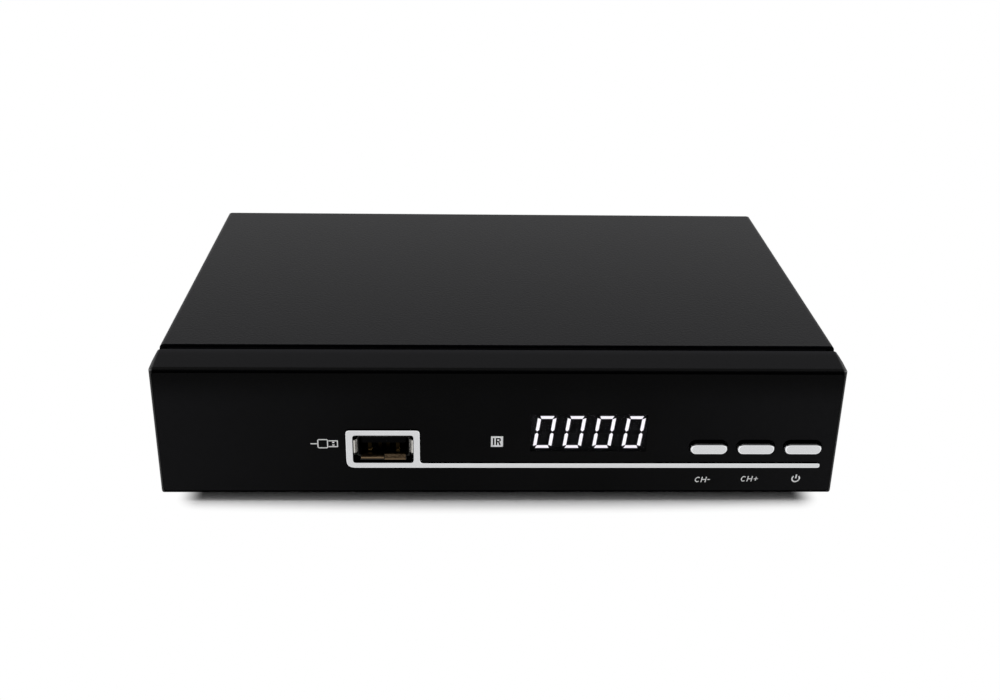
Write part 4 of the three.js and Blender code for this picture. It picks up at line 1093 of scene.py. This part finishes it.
class RECEIVER_OT_marks(Step):
    """Print the marks on the face plate"""

    bl_idname = "receiver.marks"
    bl_label = "Printed marks"

    def execute(self, context):
        options = settings("marks")
        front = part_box("front_lens")[0].y
        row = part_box("front_bezel")[0].z + options.letter_rise

        def shifted(name, x, z):
            shift = MARK_SHIFTS[name]
            return x + shift[0] * MM, z + shift[1] * MM

        def below(name):
            return shifted(name, middle_of(f"cap_{name}").x, row)

        def stamp(name, outlines, holes=()):
            first, *others = outlines
            solids = [slab(first, front - options.film, front, holes)]
            solids += [slab(points, front - options.film, front) for points in others]
            settle(f"mark_{name}", together(solids), "screen_print")

        stamp("ch_down", channel_mark(below("ch_down"), False))
        stamp("ch_up", channel_mark(below("ch_up"), True))
        stamp("power", standby_mark(below("power")))
        middle = middle_of("infrared_receiver")
        square, letters, eye = receiver_mark(shifted("receiver", middle.x, middle.z))
        stamp("receiver", [square], letters)
        stamp("receiver_eye", [eye])
        trim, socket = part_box("usb_trim")[0], middle_of("usb_shell")
        grip, inside, lead, nose, holes = plug_mark(shifted("plug", trim.x, socket.z))
        stamp("plug", [grip, lead], [inside])
        stamp("plug_nose", [nose, *holes])
        return {"FINISHED"}


# Contacts of the USB socket: place across, in pitches, and set back, in millimetres
CONTACTS = ((-1.75, 0), (-0.5, 1), (0.5, 1), (1.75, 0))

# Bends of its metal strips along Y and Z, from the front and the shell's foot, in millimetres
CONTACT_BEND = [
    (0.1, 3.9), (0.15, 2.4), (0.25, 1.5), (0.65, 1.5), (1.4, 2.4), (3.2, 3.5), (6.0, 3.8),
]
FLAT_BEND = [
    (-0.12, 0.47), (0.0, 0.62), (0.6, 0.95), (1.2, 0.98), (2.2, 1.0), (4.5, 1.0), (8.0, 0.98),
]
HIGH_BEND = [
    (-0.1, 0.14), (0.05, 0.45), (0.5, 1.0), (1.1, 1.35), (2.2, 1.3), (4.5, 1.1), (8.0, 0.98),
]

# Its springs: their bend, and their sides from the middle, in millimetres
SPRINGS = ((FLAT_BEND, -5.6, 0.1), (HIGH_BEND, 0.3, 5.5))


class RECEIVER_OT_usb(Step):
    """Dress the USB socket, and make the contacts under its tongue and the springs on its floor"""

    bl_idname = "receiver.usb"
    bl_label = "USB socket"

    def execute(self, context):
        options = settings("details")
        parts = (("usb_shell", "socket_nickel", 0.3), ("usb_tongue", "socket_black", 0.5))
        for node, finish, edge in parts:
            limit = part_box(node)[0].y + options.mouth_depth
            solid = brought_forward(softened(node, edge * options.rim), limit, options.socket_step)
            settle(f"{node}_dressed", solid, finish, replaced=[node])
        middle = middle_of("usb_tongue").x
        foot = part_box("usb_shell")[0].z

        def bent(bend, front, thickness, left, right):
            path = [(front + y * MM, foot + z * MM) for y, z in bend]
            return bent_strip(path, thickness, middle + left, middle + right)

        front = socket_front("usb_tongue")
        half = options.contact_width / 2
        thickness = options.contact_thickness
        contacts = []
        for place, sunk in CONTACTS:
            x = place * options.contact_pitch
            contacts.append(bent(CONTACT_BEND, front + sunk * MM, thickness, x - half, x + half))
        settle("usb_contacts", together(contacts), "contact_gold")
        front = socket_front("usb_shell")
        thickness = options.spring_thickness
        springs = [bent(bend, front, thickness, x * MM, end * MM) for bend, x, end in SPRINGS]
        settle("usb_springs", together(springs), "spring_bronze")
        return {"FINISHED"}


class RECEIVER_OT_tray(Step):
    """Dress the folded tray and its feet"""

    bl_idname = "receiver.tray"
    bl_label = "Tray and feet"

    def execute(self, context):
        dress("base_tray", "zinc_steel", 1)
        for corner in CORNERS:
            dress(f"foot_{corner}", "rubber", sharp=30)
        return {"FINISHED"}


def threaded_barrel():
    """The aerial socket's barrel: a tube with a helical thread that fades out at its ends."""
    options = settings("details")
    low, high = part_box("lnb_barrel")
    radius = (high.x - low.x) / 2
    middle = (low + high) / 2
    wall, chamfer, inner_chamfer = 0.9 * MM, 0.4 * MM, 0.1 * MM
    turn_rows = 8
    inner = radius - wall
    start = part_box("lnb_nut")[1].y - options.thread_pitch
    end = high.y - chamfer
    rows = round((end - start) / options.thread_pitch * turn_rows)

    def ring(y, size, cut=0.0):
        points = []
        for i in range(options.sides):
            turn = 2 * math.pi * i / options.sides
            phase = ((y - start) / options.thread_pitch - i / options.sides) % 1
            r = size - cut * options.thread_depth * abs(2 * phase - 1)
            points.append((middle.x + r * math.cos(turn), y, middle.z + r * math.sin(turn)))
        return points

    rings = [ring(low.y, radius), ring(start, radius)]
    for row in range(1, rows + 1):
        y = start + (end - start) * row / rows
        rings.append(ring(y, radius, min(1.0, row / turn_rows)))
    rings.append(ring(high.y, radius - chamfer))
    rings.append(ring(high.y, inner + inner_chamfer))
    rings.append(ring(high.y - inner_chamfer, inner))
    rings.append(ring(low.y, inner))
    return lofted(rings, closed=True)


class RECEIVER_OT_aerial(Step):
    """Make the threaded aerial socket, and dress its insulator, nut and tuner"""

    bl_idname = "receiver.aerial"
    bl_label = "Aerial socket"

    def execute(self, context):
        node = "lnb_barrel"
        settle(f"{node}_dressed", threaded_barrel(), "nickel", replaced=[node])
        dress("lnb_insulator", "ivory_plastic", 0.5)
        dress("lnb_nut", "nickel", 0.5)
        dress("tuner_can", "zinc_steel", 1)
        return {"FINISHED"}


class RECEIVER_OT_audio_video(Step):
    """Dress the block of sound and picture sockets, its coloured cores and their sleeves"""

    bl_idname = "receiver.audio_video"
    bl_label = "Sound and picture sockets"

    def execute(self, context):
        dress("av_housing", "black_plastic", 1)
        for name, hue in (("video", "yellow"), ("left", "white"), ("right", "red")):
            dress(f"av_core_{name}", f"{hue}_core", 0.5)
            dress(f"av_sleeve_{name}", "nickel", 0.4)
        return {"FINISHED"}


class RECEIVER_OT_hdmi(Step):
    """Dress the HDMI socket"""

    bl_idname = "receiver.hdmi"
    bl_label = "HDMI socket"

    def execute(self, context):
        dress("hdmi_shell", "nickel", 0.5)
        dress("hdmi_tongue", "black_plastic", 0.5)
        return {"FINISHED"}


class RECEIVER_OT_power_inlet(Step):
    """Dress the DC inlet and its pin"""

    bl_idname = "receiver.power_inlet"
    bl_label = "DC inlet"

    def execute(self, context):
        dress("dc_inlet", "black_plastic", 0.8)
        dress("dc_pin", "nickel", 0.5)
        return {"FINISHED"}


class RECEIVER_OT_boards(Step):
    """Dress the boards and what stands on them"""

    bl_idname = "receiver.boards"
    bl_label = "Boards"

    def execute(self, context):
        for node in ("main_board", "front_board"):
            dress(node, "circuit_board", 1)
        for node in ("front_header", "main_header", "ribbon_cable"):
            dress(node, "ivory_plastic", 0.5)
        for node in ("main_chip", "memory_chip", "power_coil"):
            dress(node, "chip_compound")
        for number in (1, 2, 3):
            dress(f"capacitor_{number}", "chip_compound")
        dress("heatsink", "anodised", 1)
        dress("clock_crystal", "bright_steel")
        for corner in CORNERS:
            dress(f"board_screw_{corner}", "bright_steel")
        for side in SIDES:
            dress(f"front_board_screw_{side}", "bright_steel")
        return {"FINISHED"}


def lamp(name, strength, spread, direction):
    """A soft sun that shines along a direction."""
    light = bpy.data.lights.new(name, "SUN")
    light.energy = strength
    light.angle = spread
    sun = placed(name, light)
    sun.rotation_mode = "QUATERNION"
    sun.rotation_quaternion = Vector(direction).to_track_quat("-Z", "Y")


class RECEIVER_OT_stage(Step):
    """Set the floor, the light and the camera"""

    bl_idname = "receiver.stage"
    bl_label = "Stage"

    def execute(self, context):
        options = settings("stage")
        self.floor(options)
        self.world(options.ambient)
        lamp("front_light", options.front_sun, options.spread, (0.2, 0.8, -1.0))
        lamp("top_light", options.top_sun, options.spread, (0.02, -0.2, -1.0))
        self.camera(options)
        context.scene.view_settings.view_transform = "Standard"
        return {"FINISHED"}

    def floor(self, options):
        """A wide plain floor under the feet."""
        side = 6.0
        corners = [(x, y, 0) for x, y in bar((0, 0), side, side)]
        mesh = bpy.data.meshes.new("floor")
        mesh.from_pydata(corners, [], [(0, 1, 2, 3)])
        mesh.materials.append(self.floor_finish(options))
        floor = placed("floor", mesh)

    def floor_finish(self, options):
        """Matt white under the body's shadow, and plain white to the camera beyond."""
        finish = Finish("floor", tuple(options.floor), 1.0, Specular_IOR_Level=0.0)
        low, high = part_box("front_bezel")[0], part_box("base_tray")[1]
        level = Vector((1, 1, 0))
        middle = (low + high) / 2 * level + Vector((options.shade_shift, 0, 0))
        half = (high - low) / 2 * level - Vector(options.shade_inset)
        offset = finish.vector("SUBTRACT", finish.place(level), tuple(middle))
        away = finish.vector("ABSOLUTE", offset)
        aside = finish.vector("DOT_PRODUCT", away, (1 / half.x, 0, 0), output=1)
        arch = finish.add("CombineXYZ", sockets={1: aside * aside * options.shade_arch})
        beyond = finish.vector("SUBTRACT", finish.vector("ADD", away, arch), tuple(half))
        outside = finish.vector("MAXIMUM", beyond, (0, 0, 0))
        clear = finish.vector("LENGTH", outside, output=1).smooth(0, options.shade_fade)
        matt = Field(finish, finish.shader.outputs[0])
        white = finish.add("Emission", sockets={"Color": (1, 1, 1), "Strength": 1.0})
        seen = clear * finish.seen_by("Camera", "Glossy")
        finish.mixed(seen, matt, white, finish.tree.nodes["Material Output"])
        return finish.material

    def world(self, ambient):
        """A dim even light, which the camera, mirrors and clear surfaces see as white."""
        world = bpy.data.worlds.new("studio")
        world.use_nodes = True
        network = Network(world.node_tree)
        dim = network.add("Background", sockets={"Color": (1, 1, 1), "Strength": ambient})
        white = network.add("Background", sockets={"Color": (1, 1, 1), "Strength": 1.0})
        seen = network.seen_by("Camera", "Glossy", "Transmission")
        network.mixed(seen, dim, white, network.tree.nodes["World Output"])
        bpy.context.scene.world = world

    def camera(self, options):
        """A camera that looks along +Y, turned by yaw, tipped down by pitch and leant by roll."""
        lens = bpy.data.cameras.new("camera")
        lens.lens = options.focal
        lens.clip_start = 0.01
        camera = placed("camera", lens)
        turn = Matrix.Rotation(options.yaw, 4, "Z")
        tip = Matrix.Rotation(math.pi / 2 - options.pitch, 4, "X")
        lean = Matrix.Rotation(options.roll, 4, "Z")
        camera.matrix_world = Matrix.Translation(options.eye) @ turn @ tip @ lean
        bpy.context.scene.camera = camera


STEPS = (
    RECEIVER_OT_stage,
    RECEIVER_OT_cover,
    RECEIVER_OT_front,
    RECEIVER_OT_trim,
    RECEIVER_OT_buttons,
    RECEIVER_OT_display,
    RECEIVER_OT_marks,
    RECEIVER_OT_usb,
    RECEIVER_OT_tray,
    RECEIVER_OT_aerial,
    RECEIVER_OT_audio_video,
    RECEIVER_OT_hdmi,
    RECEIVER_OT_power_inlet,
    RECEIVER_OT_boards,
)


class RECEIVER_PT_panel(Panel):
    """The steps of the dressing and their settings"""

    bl_label = "Receiver"
    bl_idname = "RECEIVER_PT_panel"
    bl_space_type = "VIEW_3D"
    bl_region_type = "UI"
    bl_category = "Receiver"

    def draw(self, context):
        for name, group in GROUPS.items():
            box = self.layout.box()
            box.label(text=name.capitalize())
            for key in group.__annotations__:
                box.prop(settings(name), key)
        for step in STEPS:
            self.layout.operator(step.bl_idname)


def register():
    for group in GROUPS.values():
        bpy.utils.register_class(group)
    for name, group in GROUPS.items():
        setattr(bpy.types.Scene, "receiver_" + name, PointerProperty(type=group))
    for step in STEPS:
        bpy.utils.register_class(step)
    bpy.utils.register_class(RECEIVER_PT_panel)


def unregister():
    bpy.utils.unregister_class(RECEIVER_PT_panel)
    for step in reversed(STEPS):
        bpy.utils.unregister_class(step)
    for name in GROUPS:
        delattr(bpy.types.Scene, "receiver_" + name)
    for group in reversed(GROUPS.values()):
        bpy.utils.unregister_class(group)


def main():
    register()
    for step in STEPS:
        group, name = step.bl_idname.split(".")
        getattr(getattr(bpy.ops, group), name)()


if __name__ == "__main__":
    main()
